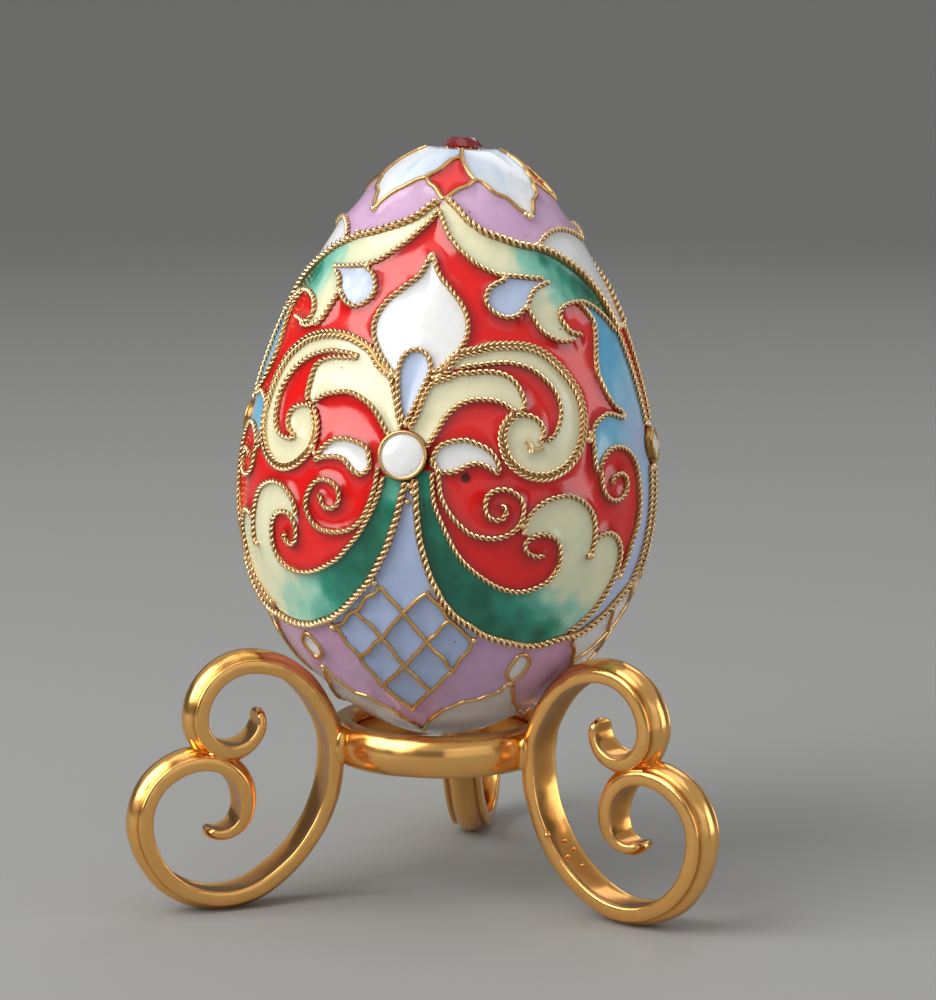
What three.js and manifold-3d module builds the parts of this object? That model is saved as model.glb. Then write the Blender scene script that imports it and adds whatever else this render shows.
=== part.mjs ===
// A jewelled egg resting in its three-legged scroll stand.
//
// Millimetres, +Z up. The egg and the ring of the stand share one upright axis. Two legs face the
// front (-Y) and the third points to the back (+Y). The egg is heavier than it looks and simply lies
// in the stand: its round lower end rests on the shoulders of the three legs and its tip hangs in
// the ring, so there is a clear gap between the tip and the ring.

import * as THREE from "three";
import { ConvexGeometry } from "three/addons/geometries/ConvexGeometry.js";
import { mergeVertices } from "three/addons/utils/BufferGeometryUtils.js";
import Module from "manifold-3d";

const wasm = await Module();
wasm.setup();

// ---------------------------------------------------------------- sizes

// The origin is under the middle of the whole object, so the upright axis stands a little forward.
const AXIS_Y = -6.08;

// Egg: a pointed oval, r = b sin t (1 + c1 cos t + c2 cos^2 t + c3 cos^3 t), z = a cos t.
const EGG_HALF_HEIGHT = 30.5;
const EGG_RADIUS = 20.76;
const EGG_SHAPE = [-0.212, -0.114, 0.135];
const EGG_CENTRE_Z = 46.65;
const EGG_TOP_FLAT_Z = 76.6;
const EGG_RINGS = 26;
const EGG_SEGMENTS = 40;

// The egg leans towards +X by this angle, about a point low on the axis, and is turned a little.
const EGG_LEAN = 2.7;
const EGG_LEAN_PIVOT_Z = 31;
const EGG_TURN = -2.5;

// Seat, setting and stone on the top of the egg.
const SEAT_RADIUS = 1.9;
const SEAT_FLOOR_Z = 76.0;
const SETTING_RADIUS = 1.6;
const SETTING_Z = [76.3, 76.56];
const GRANULE_RADIUS = 0.26;
const GRANULE_OFFSET = 1.5;
const GRANULE_Z = 76.38;
const STONE_GIRDLE_RADIUS = 2.0;
const STONE_BASE_RADIUS = 1.25;
const STONE_TABLE_RADIUS = 1.15;
const STONE_Z = { base: 76.66, girdle: 76.82, top: 77.7 };

// Round enamel medallions with a wire rim, at four places round the egg.
const MEDALLION_Z = 47.8;
const MEDALLION_RADIUS = { large: 2.43, small: 1.75 };
const MEDALLION_RIM = 0.46;
const MEDALLION_HEIGHT = 0.62;
const MEDALLION_GAP = 0.3;
const MEDALLION_AZIMUTHS = { front: -1.75, back: 178.25 };

// Ring of the stand: half-round outside, a flat top and a bevelled seat inside.
const RING_OUTER_RADIUS = 12.0;
const RING_INNER_RADIUS = 8.9;
const RING_BOTTOM_Z = 13.85;
const RING_HEIGHT = 4.2;
const RING_SEGMENTS = 48;

// Legs: one cast bar in the form of a double scroll. The centre line is a chain of tangent arcs in
// the upright plane of the leg, [radius, degrees], starting at the foot. Where the two scrolls meet
// they run into each other.
const FRONT_LEG_AZIMUTH = 60;
const LEG_WIDTH = 4.2;
const LEG_THICKNESS = 2.2;
const FOOT_RADIUS = 24.05;
const FOOT_FLAT_DEPTH = 0.12;
const LOWER_SCROLL = [[8.9, 84], [6.25, 111], [4.75, 95], [2.6, 82], [1.75, 43]];
const STEM_AND_UPPER_SCROLL = [
  [8.95, 29.5],
  [15.0, 64.9],
  [7.6, 23],
  [23.3, 7],
  [8.6, 52.9],
  [5.7, 89.5],
  [3.8, 88.4],
  [3.4, 78],
  [2.15, 52],
];
const LEG_STEP_DEGREES = 14;
const TIP_LENGTH = 9;
const TIP_THICKNESS_SHARE = 0.42;
const TIP_WIDTH_SHARE = 0.7;

// Half-section of the bar, as shares of half the width and of the thickness. The outside (+) carries
// a rounded bead between two flanges with a groove on each side, and the inside is flat.
const BAR_SECTION = [
  [0.95, -0.5],
  [1.0, 0.02],
  [0.86, 0.18],
  [0.66, 0.08],
  [0.45, 0.36],
  [0.17, 0.5],
];

// Metal that fills the corners where the two scrolls run together at the waist of a leg.
const WAIST_RADIUS = 24.65;
const WAIST_Z = 15.9;
const WAIST_SIZE = { width: 3, length: 4.6, height: 1.5 };

const CLEARANCE = 0.3;

// ---------------------------------------------------------------- helpers

const radians = THREE.MathUtils.degToRad;

// A BufferGeometry as a manifold solid.
function solidOf(geometry) {
  const bare = geometry.clone();
  bare.deleteAttribute("normal");
  bare.deleteAttribute("uv");
  const merged = mergeVertices(bare, 1e-4);
  return new wasm.Manifold(
    new wasm.Mesh({
      numProp: 3,
      vertProperties: new Float32Array(merged.attributes.position.array),
      triVerts: new Uint32Array(merged.index.array),
    }),
  );
}

// A manifold solid as a BufferGeometry.
function geometryOf(solid) {
  const mesh = solid.getMesh();
  const points = new Float32Array(mesh.numVert * 3);
  for (let i = 0; i < mesh.numVert; i += 1) {
    for (let k = 0; k < 3; k += 1) {
      points[3 * i + k] = mesh.vertProperties[mesh.numProp * i + k];
    }
  }
  const geometry = new THREE.BufferGeometry();
  geometry.setAttribute("position", new THREE.BufferAttribute(points, 3));
  geometry.setIndex(new THREE.BufferAttribute(new Uint32Array(mesh.triVerts), 1));
  geometry.computeVertexNormals();
  return geometry;
}

// A turned solid about the Z axis from [radius, z] points that rise from the bottom.
function turned(points, segments) {
  const profile = points.map(([r, z]) => new THREE.Vector2(r, z));
  return new THREE.LatheGeometry(profile, segments).rotateX(Math.PI / 2);
}

// Puts a geometry of the egg in place: turned about its axis, then leaned, then moved to the axis.
function placeOnEgg(geometry) {
  const place = new THREE.Matrix4().makeTranslation(0, AXIS_Y, EGG_LEAN_PIVOT_Z);
  place.multiply(new THREE.Matrix4().makeRotationY(radians(EGG_LEAN)));
  place.multiply(new THREE.Matrix4().makeRotationZ(radians(EGG_TURN)));
  place.multiply(new THREE.Matrix4().makeTranslation(0, 0, -EGG_LEAN_PIVOT_Z));
  return geometry.applyMatrix4(place);
}

// ---------------------------------------------------------------- egg

function eggPoint(t) {
  const c = Math.cos(t);
  const [c1, c2, c3] = EGG_SHAPE;
  const radius = EGG_RADIUS * Math.sin(t) * (1 + c1 * c + c2 * c * c + c3 * c * c * c);
  return [radius, EGG_CENTRE_Z + EGG_HALF_HEIGHT * c];
}

// The angle t at which the egg's surface reaches a height.
function eggAngle(z) {
  return Math.acos((z - EGG_CENTRE_Z) / EGG_HALF_HEIGHT);
}

function eggBody() {
  const start = eggAngle(EGG_TOP_FLAT_Z);
  const profile = [[0, EGG_CENTRE_Z - EGG_HALF_HEIGHT]];
  for (let i = 1; i <= EGG_RINGS; i += 1) {
    profile.push(eggPoint(Math.PI + ((start - Math.PI) * i) / EGG_RINGS));
  }
  profile.push([SEAT_RADIUS, EGG_TOP_FLAT_Z]);
  profile.push([SEAT_RADIUS, SEAT_FLOOR_Z]);
  profile.push([0, SEAT_FLOOR_Z]);
  return placeOnEgg(turned(profile, EGG_SEGMENTS));
}

function stoneSetting() {
  const [low, high] = SETTING_Z;
  const disc = [[0, low], [SETTING_RADIUS, low], [SETTING_RADIUS, high - 0.08], [1.45, high], [0, high]];
  let solid = solidOf(turned(disc, 20));
  for (let i = 0; i < 4; i += 1) {
    const granule = new THREE.SphereGeometry(GRANULE_RADIUS, 8, 6);
    const angle = radians(90 * i);
    granule.translate(GRANULE_OFFSET * Math.cos(angle), GRANULE_OFFSET * Math.sin(angle), GRANULE_Z);
    solid = solid.add(solidOf(granule));
  }
  return placeOnEgg(geometryOf(solid));
}

// A low faceted stone: an eight-sided table, kite facets down to a sixteen-sided girdle.
function topStone() {
  const corners = [];
  const addRing = (count, radius, z, shift) => {
    for (let i = 0; i < count; i += 1) {
      const angle = (2 * Math.PI * (i + shift)) / count;
      corners.push(new THREE.Vector3(radius * Math.cos(angle), radius * Math.sin(angle), z));
    }
  };
  const middle = STONE_TABLE_RADIUS + 0.56 * (STONE_GIRDLE_RADIUS - STONE_TABLE_RADIUS);
  const middleZ = STONE_Z.top - 0.42 * (STONE_Z.top - STONE_Z.girdle);
  addRing(8, STONE_TABLE_RADIUS, STONE_Z.top, 0);
  addRing(8, middle, middleZ, 0.5);
  addRing(16, STONE_GIRDLE_RADIUS, STONE_Z.girdle + 0.07, 0);
  addRing(16, STONE_GIRDLE_RADIUS, STONE_Z.girdle, 0);
  addRing(8, STONE_BASE_RADIUS, STONE_Z.base, 0.5);
  return placeOnEgg(new ConvexGeometry(corners));
}

// A medallion: a low button with a rounded wire rim round a slightly domed enamel face. Its flat back
// stands just clear of the egg, square to the surface there.
function medallion(size, azimuth) {
  const radius = MEDALLION_RADIUS[size];
  const rim = radius - MEDALLION_RIM;
  const h = MEDALLION_HEIGHT;
  const profile = [
    [0, 0],
    [radius, 0],
    [radius, h - 0.2],
    [radius - 0.5 * MEDALLION_RIM, h],
    [rim, h - 0.16],
    [0.55 * rim, h - 0.06],
    [0, h - 0.02],
  ];
  const button = turned(profile, size === "large" ? 20 : 16);
  const t = eggAngle(MEDALLION_Z);
  const [r, z] = eggPoint(t);
  const [r2, z2] = eggPoint(t - 0.01);
  const slope = Math.atan2(r - r2, z2 - z);
  button.translate(0, 0, MEDALLION_GAP);
  button.rotateX(Math.PI / 2);
  button.rotateX(-slope);
  button.translate(0, -r, z);
  button.rotateZ(radians(azimuth));
  return placeOnEgg(button);
}

// ---------------------------------------------------------------- stand

// The centre line of a leg as [r, z] stations with headings, from the foot along a chain of arcs.
// The turn is +1 (anticlockwise) or -1.
function followArcs(arcs, heading, turn) {
  const stations = [];
  let [r, z] = [FOOT_RADIUS, LEG_THICKNESS / 2 - FOOT_FLAT_DEPTH];
  let angle = radians(heading);
  for (const [radius, degrees] of arcs) {
    const centre = [r - turn * radius * Math.sin(angle), z + turn * radius * Math.cos(angle)];
    const steps = Math.max(1, Math.round(degrees / LEG_STEP_DEGREES));
    for (let i = 1; i <= steps; i += 1) {
      const a = angle + (turn * radians(degrees) * i) / steps;
      const at = [centre[0] + turn * radius * Math.sin(a), centre[1] - turn * radius * Math.cos(a)];
      stations.push({ r: at[0], z: at[1], heading: a, step: (radius * radians(degrees)) / steps });
    }
    ({ r, z } = stations[stations.length - 1]);
    angle += turn * radians(degrees);
  }
  return stations;
}

// The whole bar, from the tip of the upper scroll to the tip of the lower one.
function legLine() {
  const inner = followArcs(STEM_AND_UPPER_SCROLL, 180, -1);
  const outer = followArcs(LOWER_SCROLL, 0, 1);
  const foot = { r: FOOT_RADIUS, z: LEG_THICKNESS / 2 - FOOT_FLAT_DEPTH, heading: 0, step: 0 };
  const line = inner.reverse().map((s) => ({ ...s, heading: s.heading - Math.PI }));
  line.push(foot, ...outer);
  let length = 0;
  for (let i = 0; i < line.length; i += 1) {
    if (i > 0) {
      length += Math.hypot(line[i].r - line[i - 1].r, line[i].z - line[i - 1].z);
    }
    line[i].s = length;
  }
  return line;
}

// How much of its full size the bar has at a distance from the nearer tip.
function tipShare(distance, share) {
  const t = Math.min(1, distance / TIP_LENGTH);
  return share + (1 - share) * Math.sin((t * Math.PI) / 2);
}

// One of the two scrolls of a leg as a swept bar, in its own plane: X outwards, Y across, Z up.
// The upper one runs from its tip down to the foot, and the lower one from the foot to its tip.
function scrollBar(part) {
  const whole = legLine();
  const total = whole[whole.length - 1].s;
  const foot = whole.findIndex((station) => station.step === 0);
  const line = part === "upper" ? whole.slice(0, foot + 1) : whole.slice(foot);
  const section = [
    ...BAR_SECTION,
    ...BAR_SECTION.map(([u, v]) => [-u, v]).reverse(),
  ];
  const n = section.length;
  const points = [];
  for (const { r, z, heading, s } of line) {
    const distance = Math.min(s, total - s);
    const half = 0.5 * LEG_WIDTH * tipShare(distance, TIP_WIDTH_SHARE);
    const thick = LEG_THICKNESS * tipShare(distance, TIP_THICKNESS_SHARE);
    const outward = [Math.sin(heading), -Math.cos(heading)];
    for (const [u, v] of section) {
      points.push(r + outward[0] * v * thick, u * half, z + outward[1] * v * thick);
    }
  }
  const index = [];
  for (let i = 0; i + 1 < line.length; i += 1) {
    for (let k = 0; k < n; k += 1) {
      const [a, b] = [i * n + k, i * n + ((k + 1) % n)];
      index.push(a, a + n, b, b, a + n, b + n);
    }
  }
  const last = (line.length - 1) * n;
  for (let k = 1; k + 1 < n; k += 1) {
    index.push(0, k, k + 1);
    index.push(last, last + k + 1, last + k);
  }
  const bar = new THREE.BufferGeometry();
  bar.setAttribute("position", new THREE.Float32BufferAttribute(points, 3));
  bar.setIndex(index);
  return bar;
}

// One leg: its two scrolls, run together at the waist, and a small flat filed under the foot.
function leg(azimuth) {
  const { width, length, height } = WAIST_SIZE;
  const waist = new THREE.CylinderGeometry(1, 1, width, 10);
  waist.scale(length / 2, 1, height / 2);
  waist.translate(WAIST_RADIUS, 0, WAIST_Z);
  const below = new THREE.BoxGeometry(40, 10, 4).translate(FOOT_RADIUS, 0, -2);
  const scrolls = solidOf(scrollBar("upper")).add(solidOf(scrollBar("lower")));
  const solid = scrolls.add(solidOf(waist)).subtract(solidOf(below));
  return geometryOf(solid).rotateZ(radians(azimuth - 90)).translate(0, AXIS_Y, 0);
}

// A block that stands round a leg's stem with a little clearance, to notch the ring.
function stemNotch(azimuth) {
  const stem = legLine().filter((s) => s.z > RING_BOTTOM_Z - 1 && s.z < RING_BOTTOM_Z + RING_HEIGHT + 1);
  const inside = Math.min(...stem.map((s) => s.r)) - LEG_THICKNESS / 2 - CLEARANCE;
  const notch = new THREE.BoxGeometry(6, LEG_WIDTH + 2 * CLEARANCE, 3 * RING_HEIGHT);
  notch.translate(inside + 3, 0, RING_BOTTOM_Z + RING_HEIGHT / 2);
  return notch.rotateZ(radians(azimuth - 90));
}

function ring() {
  const [inner, outer] = [RING_INNER_RADIUS, RING_OUTER_RADIUS];
  const top = RING_BOTTOM_Z + RING_HEIGHT;
  const profile = [[inner, RING_BOTTOM_Z + 0.4], [inner + 0.4, RING_BOTTOM_Z]];
  const arcSteps = 6;
  for (let i = 0; i <= arcSteps; i += 1) {
    const a = radians(-80 + (160 * i) / arcSteps);
    const z = RING_BOTTOM_Z + RING_HEIGHT * (0.5 + 0.5 * Math.sin(a) / Math.sin(radians(80)));
    profile.push([outer - 1.3 * (1 - Math.cos(a)), z]);
  }
  profile.push([inner + 0.75, top]);
  profile.push([inner, top - 0.9]);
  profile.push(profile[0]);
  let solid = solidOf(turned(profile, RING_SEGMENTS));
  for (const azimuth of LEG_AZIMUTHS) {
    solid = solid.subtract(solidOf(stemNotch(azimuth)));
  }
  return geometryOf(solid).translate(0, AXIS_Y, 0);
}

// Azimuths are from -Y, turning towards +X.
const LEG_AZIMUTHS = [-FRONT_LEG_AZIMUTH, FRONT_LEG_AZIMUTH, 180];

// ---------------------------------------------------------------- materials

const finish = (color, roughness, metalness) =>
  new THREE.MeshStandardMaterial({ color, roughness, metalness });

const gilt = () => finish(0xc8985a, 0.28, 1);
const enamel = () => finish(0xc41c1a, 0.12, 0);
const whiteEnamel = () => finish(0xeeeef2, 0.12, 0);
const stoneRed = () => finish(0x6a0714, 0.05, 0);

// ---------------------------------------------------------------- assembly

const part = new THREE.Group();

function add(name, geometry, material) {
  const mesh = new THREE.Mesh(geometry, material);
  mesh.name = name;
  part.add(mesh);
}

add("egg_body", eggBody(), enamel());
add("stone_setting", stoneSetting(), gilt());
add("top_stone", topStone(), stoneRed());
add("medallion_front", medallion("large", MEDALLION_AZIMUTHS.front), whiteEnamel());
add("medallion_back", medallion("large", MEDALLION_AZIMUTHS.back), whiteEnamel());
add("medallion_right", medallion("small", 90), whiteEnamel());
add("medallion_left", medallion("small", -90), whiteEnamel());
add("ring", ring(), gilt());
add("leg_left", leg(-FRONT_LEG_AZIMUTH), gilt());
add("leg_right", leg(FRONT_LEG_AZIMUTH), gilt());
add("leg_back", leg(180), gilt());

export default part;
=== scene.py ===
# %% [markdown]
# # A jewelled egg resting in its scroll stand
#
# The real object is a small metal egg covered with cloisonne enamel: gilt wires are soldered on the shell,
# the cells between them are filled with powdered glass, and the whole is fired until the glass melts. It
# lies loose in a cast and soldered gilt stand with three double-scroll legs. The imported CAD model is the
# fixed frame. Everything here is drawn in millimetres and turned to metres when a mesh is made.

# %% Load the frame
import math
import bpy
import numpy as np
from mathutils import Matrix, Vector, noise
from mathutils.kdtree import KDTree


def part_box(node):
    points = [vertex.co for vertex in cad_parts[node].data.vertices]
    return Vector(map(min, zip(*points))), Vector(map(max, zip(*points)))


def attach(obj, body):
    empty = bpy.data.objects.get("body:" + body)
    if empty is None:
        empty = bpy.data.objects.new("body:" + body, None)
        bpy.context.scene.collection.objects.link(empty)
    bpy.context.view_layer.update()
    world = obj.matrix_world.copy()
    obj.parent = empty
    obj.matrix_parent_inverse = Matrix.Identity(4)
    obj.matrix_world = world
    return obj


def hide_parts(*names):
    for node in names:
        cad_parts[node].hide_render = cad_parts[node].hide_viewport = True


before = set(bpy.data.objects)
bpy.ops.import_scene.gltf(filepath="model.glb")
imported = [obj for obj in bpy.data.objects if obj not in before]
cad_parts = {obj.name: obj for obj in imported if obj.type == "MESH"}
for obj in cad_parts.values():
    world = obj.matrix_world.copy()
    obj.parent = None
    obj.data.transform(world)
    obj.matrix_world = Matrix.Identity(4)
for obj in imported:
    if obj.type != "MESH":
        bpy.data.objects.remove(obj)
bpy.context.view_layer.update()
MM = 0.001

# %% [markdown]
# ## Camera, lights and floor
#
# A long lens stands a little to the right of the front and slightly above, as for a catalogue picture, so
# the egg keeps its true outline. A big soft key light comes from the upper left and puts the shadow on
# the right. A weaker one on the right draws the second, dimmer gloss on the enamel. The floor is a plain
# pale board that sweeps up all round.

# %% Camera
def direction(azimuth, elevation):
    """The unit vector towards an azimuth (from the front, turning to the right) and elevation, in degrees."""
    a, e = math.radians(azimuth), math.radians(elevation)
    return Vector((math.sin(a) * math.cos(e), -math.cos(a) * math.cos(e), math.sin(e)))


def aim(obj, place, target):
    """Put an object at place, in mm, looking at target."""
    obj.location = place * MM
    obj.rotation_mode = "QUATERNION"
    obj.rotation_quaternion = (target - place).to_track_quat("-Z", "Y")


AXIS_Y = -6.08
CAMERA_AZIMUTH, CAMERA_ELEVATION, CAMERA_DISTANCE, AIM_ASIDE = 8.5, 8.4, 328.8, 2.64
SIDEWAYS = direction(CAMERA_AZIMUTH + 90, 0)
camera = bpy.data.objects.new("camera", bpy.data.cameras.new("camera"))
camera.data.lens = 115.2
camera.data.clip_start = 0.01
target = Vector((0, AXIS_Y, 40.55))
aim(camera, target + CAMERA_DISTANCE * direction(CAMERA_AZIMUTH, CAMERA_ELEVATION),
    target + AIM_ASIDE * SIDEWAYS)
bpy.context.scene.collection.objects.link(camera)
bpy.context.scene.camera = camera
bpy.context.scene.view_settings.view_transform = "Standard"
print("camera at", [round(v, 3) for v in camera.location])

# %% Colour conversion and the one helper for nodes
def srgb(code):
    """An sRGB hex value such as C8985A as a linear colour with alpha."""
    parts = [int(code[i:i + 2], 16) / 255 for i in (0, 2, 4)]
    return (*[v / 12.92 if v <= 0.04045 else ((v + 0.055) / 1.055) ** 2.4 for v in parts], 1.0)


def put(tree, kind, settings=None, values=None, links=None):
    """Add one node: settings are its properties, values its unlinked inputs, links its linked inputs."""
    made = tree.nodes.new(kind)
    for name, value in (settings or {}).items():
        setattr(made, name, value)
    for name, value in (values or {}).items():
        made.inputs[name].default_value = value
    for name, source in (links or {}).items():
        tree.links.new(source, made.inputs[name])
    return made


def new_material(name):
    """An empty node material with its output."""
    material = bpy.data.materials.new(name)
    material.use_nodes = True
    material.node_tree.nodes.clear()
    return material, material.node_tree


# %% Lights
def soft_box(name, azimuth, elevation, distance, size, power, tint):
    """A square area light aimed at the egg: distance and size in mm, power in watts."""
    lamp = bpy.data.lights.new(name, "AREA")
    lamp.shape, lamp.size, lamp.energy, lamp.color = "SQUARE", size * MM, power, srgb(tint)[:3]
    obj = bpy.data.objects.new(name, lamp)
    middle = Vector((0, AXIS_Y, 40))
    aim(obj, middle + distance * direction(azimuth, elevation), middle)
    bpy.context.scene.collection.objects.link(obj)


soft_box("key", -52, 36, 620, 540, 4.0, "FFFDF8")
soft_box("side", 92, 8, 650, 380, 0.95, "FFFFFF")
soft_box("top", 0, 82, 640, 420, 0.5, "FFFFFF")
soft_box("front", 35, 5, 700, 600, 0.6, "FFFFFF")
soft_box("back", 165, 40, 800, 300, 0.4, "FFFFFF")
world = bpy.data.worlds.new("studio")
bpy.context.scene.world = world
world.use_nodes = True
world.node_tree.nodes["Background"].inputs["Color"].default_value = srgb("C4C4C2")
world.node_tree.nodes["Background"].inputs["Strength"].default_value = 0.75

# %% Floor
painted_board, tree = new_material("matt_painted_board")
place = put(tree, "ShaderNodeTexCoord").outputs["Object"]
# Fine paint grain of about 1 mm, only in the roughness.
grain = put(tree, "ShaderNodeTexNoise", values={"Scale": 1000.0, "Detail": 3.0}, links={"Vector": place})
rough = put(tree, "ShaderNodeMapRange", values={"To Min": 0.72, "To Max": 0.85},
    links={"Value": grain.outputs["Fac"]})
board = put(tree, "ShaderNodeBsdfPrincipled", values={"Base Color": srgb("9B9C9C")},
    links={"Roughness": rough.outputs["Result"]})
put(tree, "ShaderNodeOutputMaterial", links={"Surface": board.outputs["BSDF"]})


def make_mesh(name, points, faces, materials=()):
    """A mesh object at the origin from points in mm."""
    data = bpy.data.meshes.new(name)
    data.from_pydata((np.asarray(points, float) * MM).tolist(), [], faces)
    for material in materials:
        data.materials.append(material)
    data.shade_smooth()
    obj = bpy.data.objects.new(name, data)
    bpy.context.scene.collection.objects.link(obj)
    return obj


# A round board whose edge sweeps up all round, so no line shows behind the object from any side.
FLOOR_SIDES, FLOOR_RADIUS, SWEEP_RADIUS = 72, 1000, 700
turns = np.radians(np.arange(0, 360, 360 // FLOOR_SIDES))
sweep = [(FLOOR_RADIUS, 0)] + [(FLOOR_RADIUS + SWEEP_RADIUS * math.sin(a), SWEEP_RADIUS * (1 - math.cos(a)))
    for a in np.radians(range(10, 91, 10))]
rings = np.concatenate([np.stack([r * np.cos(turns), r * np.sin(turns), np.full(FLOOR_SIDES, z)], 1)
        for r, z in sweep])
sheet = [list(range(FLOOR_SIDES))]
for i in range(len(sweep) - 1):
    near, far = i * FLOOR_SIDES, (i + 1) * FLOOR_SIDES
    for k in range(FLOOR_SIDES):
        m = (k + 1) % FLOOR_SIDES
        sheet.append((near + k, far + k, far + m, near + m))
floor = make_mesh("floor", rings, sheet, [painted_board])

# %% [markdown]
# ## Gilding
#
# The wires and the stand are gilt metal. The gilding is bright on the crests, where it is rubbed, and dark
# brown in the hollows, partly from old polish and oxide and partly as painted shade. So each gilt piece
# carries an attribute, crest, from 0 in a hollow to 1 on a ridge, and the material mixes its two tones by
# it. A metal keeps the default IOR, and its colour is its reflectance.

# %% Gilt metal
def gilt(name, bright, dark, rough_low, rough_high, bump_mm, grain_mm, wear_and_shade=(0.25, 0.75)):
    """Gilt metal with brown hollows, soft blotches, and a bump of bump_mm at a grain of grain_mm."""
    material, tree = new_material(name)
    place = put(tree, "ShaderNodeTexCoord").outputs["Object"]
    crest = put(tree, "ShaderNodeAttribute", {"attribute_name": "crest"}).outputs["Fac"]
    blotch = put(tree, "ShaderNodeTexNoise", values={"Scale": 1000 / 5.0, "Detail": 4.0, "Roughness": 0.6},
        links={"Vector": place})
    fine = put(tree, "ShaderNodeTexNoise", values={"Scale": 1000 / grain_mm, "Detail": 3.0},
        links={"Vector": place})
    worn = put(tree, "ShaderNodeMath", {"operation": "MULTIPLY_ADD"}, {1: 0.35, 2: -0.17},
        {0: blotch.outputs["Fac"]})
    height = put(tree, "ShaderNodeMath", {"operation": "ADD"}, links={0: crest, 1: worn.outputs["Value"]})
    # The dark tone in the hollows is partly tarnish and partly painted shade; it turns bright over the given
    # range of crest.
    shine = put(tree, "ShaderNodeMapRange", {"interpolation_type": "SMOOTHSTEP"},
        {"From Min": wear_and_shade[0], "From Max": wear_and_shade[1]}, {"Value": height.outputs["Value"]})
    # On a colour mix, sockets 6 and 7 are the two colours and output 2 is the mixed one.
    tone = put(tree, "ShaderNodeMix", {"data_type": "RGBA"}, {6: srgb(dark), 7: srgb(bright)},
        {0: shine.outputs["Result"]})
    value = put(tree, "ShaderNodeMapRange", values={"To Min": 0.86, "To Max": 1.12},
        links={"Value": blotch.outputs["Fac"]})
    warm = put(tree, "ShaderNodeHueSaturation",
        links={"Color": tone.outputs[2], "Value": value.outputs["Result"]})
    rough = put(tree, "ShaderNodeMapRange",
        values={"From Min": 0.3, "From Max": 0.7, "To Min": rough_low, "To Max": rough_high},
        links={"Value": fine.outputs["Fac"]})
    bump = put(tree, "ShaderNodeBump", values={"Strength": 1.0, "Distance": bump_mm * MM},
        links={"Height": fine.outputs["Fac"]})
    metal = put(tree, "ShaderNodeBsdfPrincipled", values={"Metallic": 1.0}, links={
        "Base Color": warm.outputs["Color"], "Roughness": rough.outputs["Result"],
            "Normal": bump.outputs["Normal"]})
    put(tree, "ShaderNodeOutputMaterial", links={"Surface": metal.outputs["BSDF"]})
    return material


# Twisted silver wire, gilt and lightly polished: the crests of the strands shine, the twist stays brown.
gilt_wire = gilt("gilt_twisted_silver_wire", "FFDDAC", "B0824A", 0.18, 0.32, 0.004, 0.25, (0.15, 0.65))
# Drawn wire laid plain on the shell: a duller, browner gilding.
gilt_plain_wire = gilt("gilt_drawn_silver_wire", "E0B67C", "9A7040", 0.22, 0.38, 0.006, 0.3)
# The stand is cast brass, gilt and burnished.
gilt_brass = gilt("gilt_cast_brass", "FFC272", "C88238", 0.16, 0.27, 0.012, 2.2, (0.25, 0.85))
print("gilt materials:", gilt_wire.name, gilt_plain_wire.name, gilt_brass.name)

# %% [markdown]
# ## The shell of the egg
#
# A hen's egg isn't an ellipsoid: its blunt and pointed ends differ. A polynomial in the cosine of the
# angle from the top gives that with three numbers, the same ones as in the CAD. A place on the shell is
# an azimuth in degrees, from the front motif, and a height in mm above the middle. The finished egg
# leans slightly in its stand, because it only lies there.

# %% Egg surface
EGG_HALF, EGG_RADIUS, EGG_MIDDLE_Z = 30.5, 20.76, 46.65
EGG_SHAPE = (-0.212, -0.114, 0.135)
FLAT_HEIGHT = 76.6 - EGG_MIDDLE_Z
LEAN, TURN, PIVOT_Z = math.radians(2.7), math.radians(-2.5), 31.0


def egg_radius(height):
    """Radius of the upright egg at a height above its middle, in mm."""
    c = np.clip(np.asarray(height, float) / EGG_HALF, -1, 1)
    a, b, d = EGG_SHAPE
    return EGG_RADIUS * np.sqrt(1 - c * c) * (1 + a * c + b * c * c + d * c ** 3)


def place_egg(points):
    """Turn, lean and move points of the upright egg to where it lies."""
    x, y, z = np.asarray(points, float).T
    x, y = x * math.cos(TURN) - y * math.sin(TURN), x * math.sin(TURN) + y * math.cos(TURN)
    z = z - PIVOT_Z
    return np.stack([x * math.cos(LEAN) + z * math.sin(LEAN), y + AXIS_Y,
            z * math.cos(LEAN) - x * math.sin(LEAN) + PIVOT_Z], 1)


def on_shell(azimuth, height, lift=0.0):
    """Points of the upright egg, lifted off the shell by lift mm along its normal, and the normals."""
    azimuth, height = np.radians(np.asarray(azimuth, float)), np.asarray(height, float)
    r, step = egg_radius(height), 0.01
    slope = (egg_radius(height + step) - egg_radius(height - step)) / (2 * step)
    out, up = 1 / np.hypot(1, slope), -slope / np.hypot(1, slope)
    r, z = r + lift * out, height + EGG_MIDDLE_Z + lift * up
    normal = np.stack([out * np.sin(azimuth), -out * np.cos(azimuth), up], 1)
    return np.stack([r * np.sin(azimuth), -r * np.cos(azimuth), z], 1), normal


print("egg radius at its middle:", round(float(egg_radius(0)), 2), "mm")

# %% [markdown]
# ## The drawing of the ornament
#
# The enameller bends each wire to a drawing. Here each wire is a few points (azimuth, height) and a smooth
# curve through them. The front and the back carry the same wide motif: a leaf over a white onion petal,
# a medallion, scrolls with spiral ends, and a lattice of diamonds. The motif is drawn by hand, so its left
# and right sides differ slightly. Narrower motifs stand between them, and the whole repeats each half turn.

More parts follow.
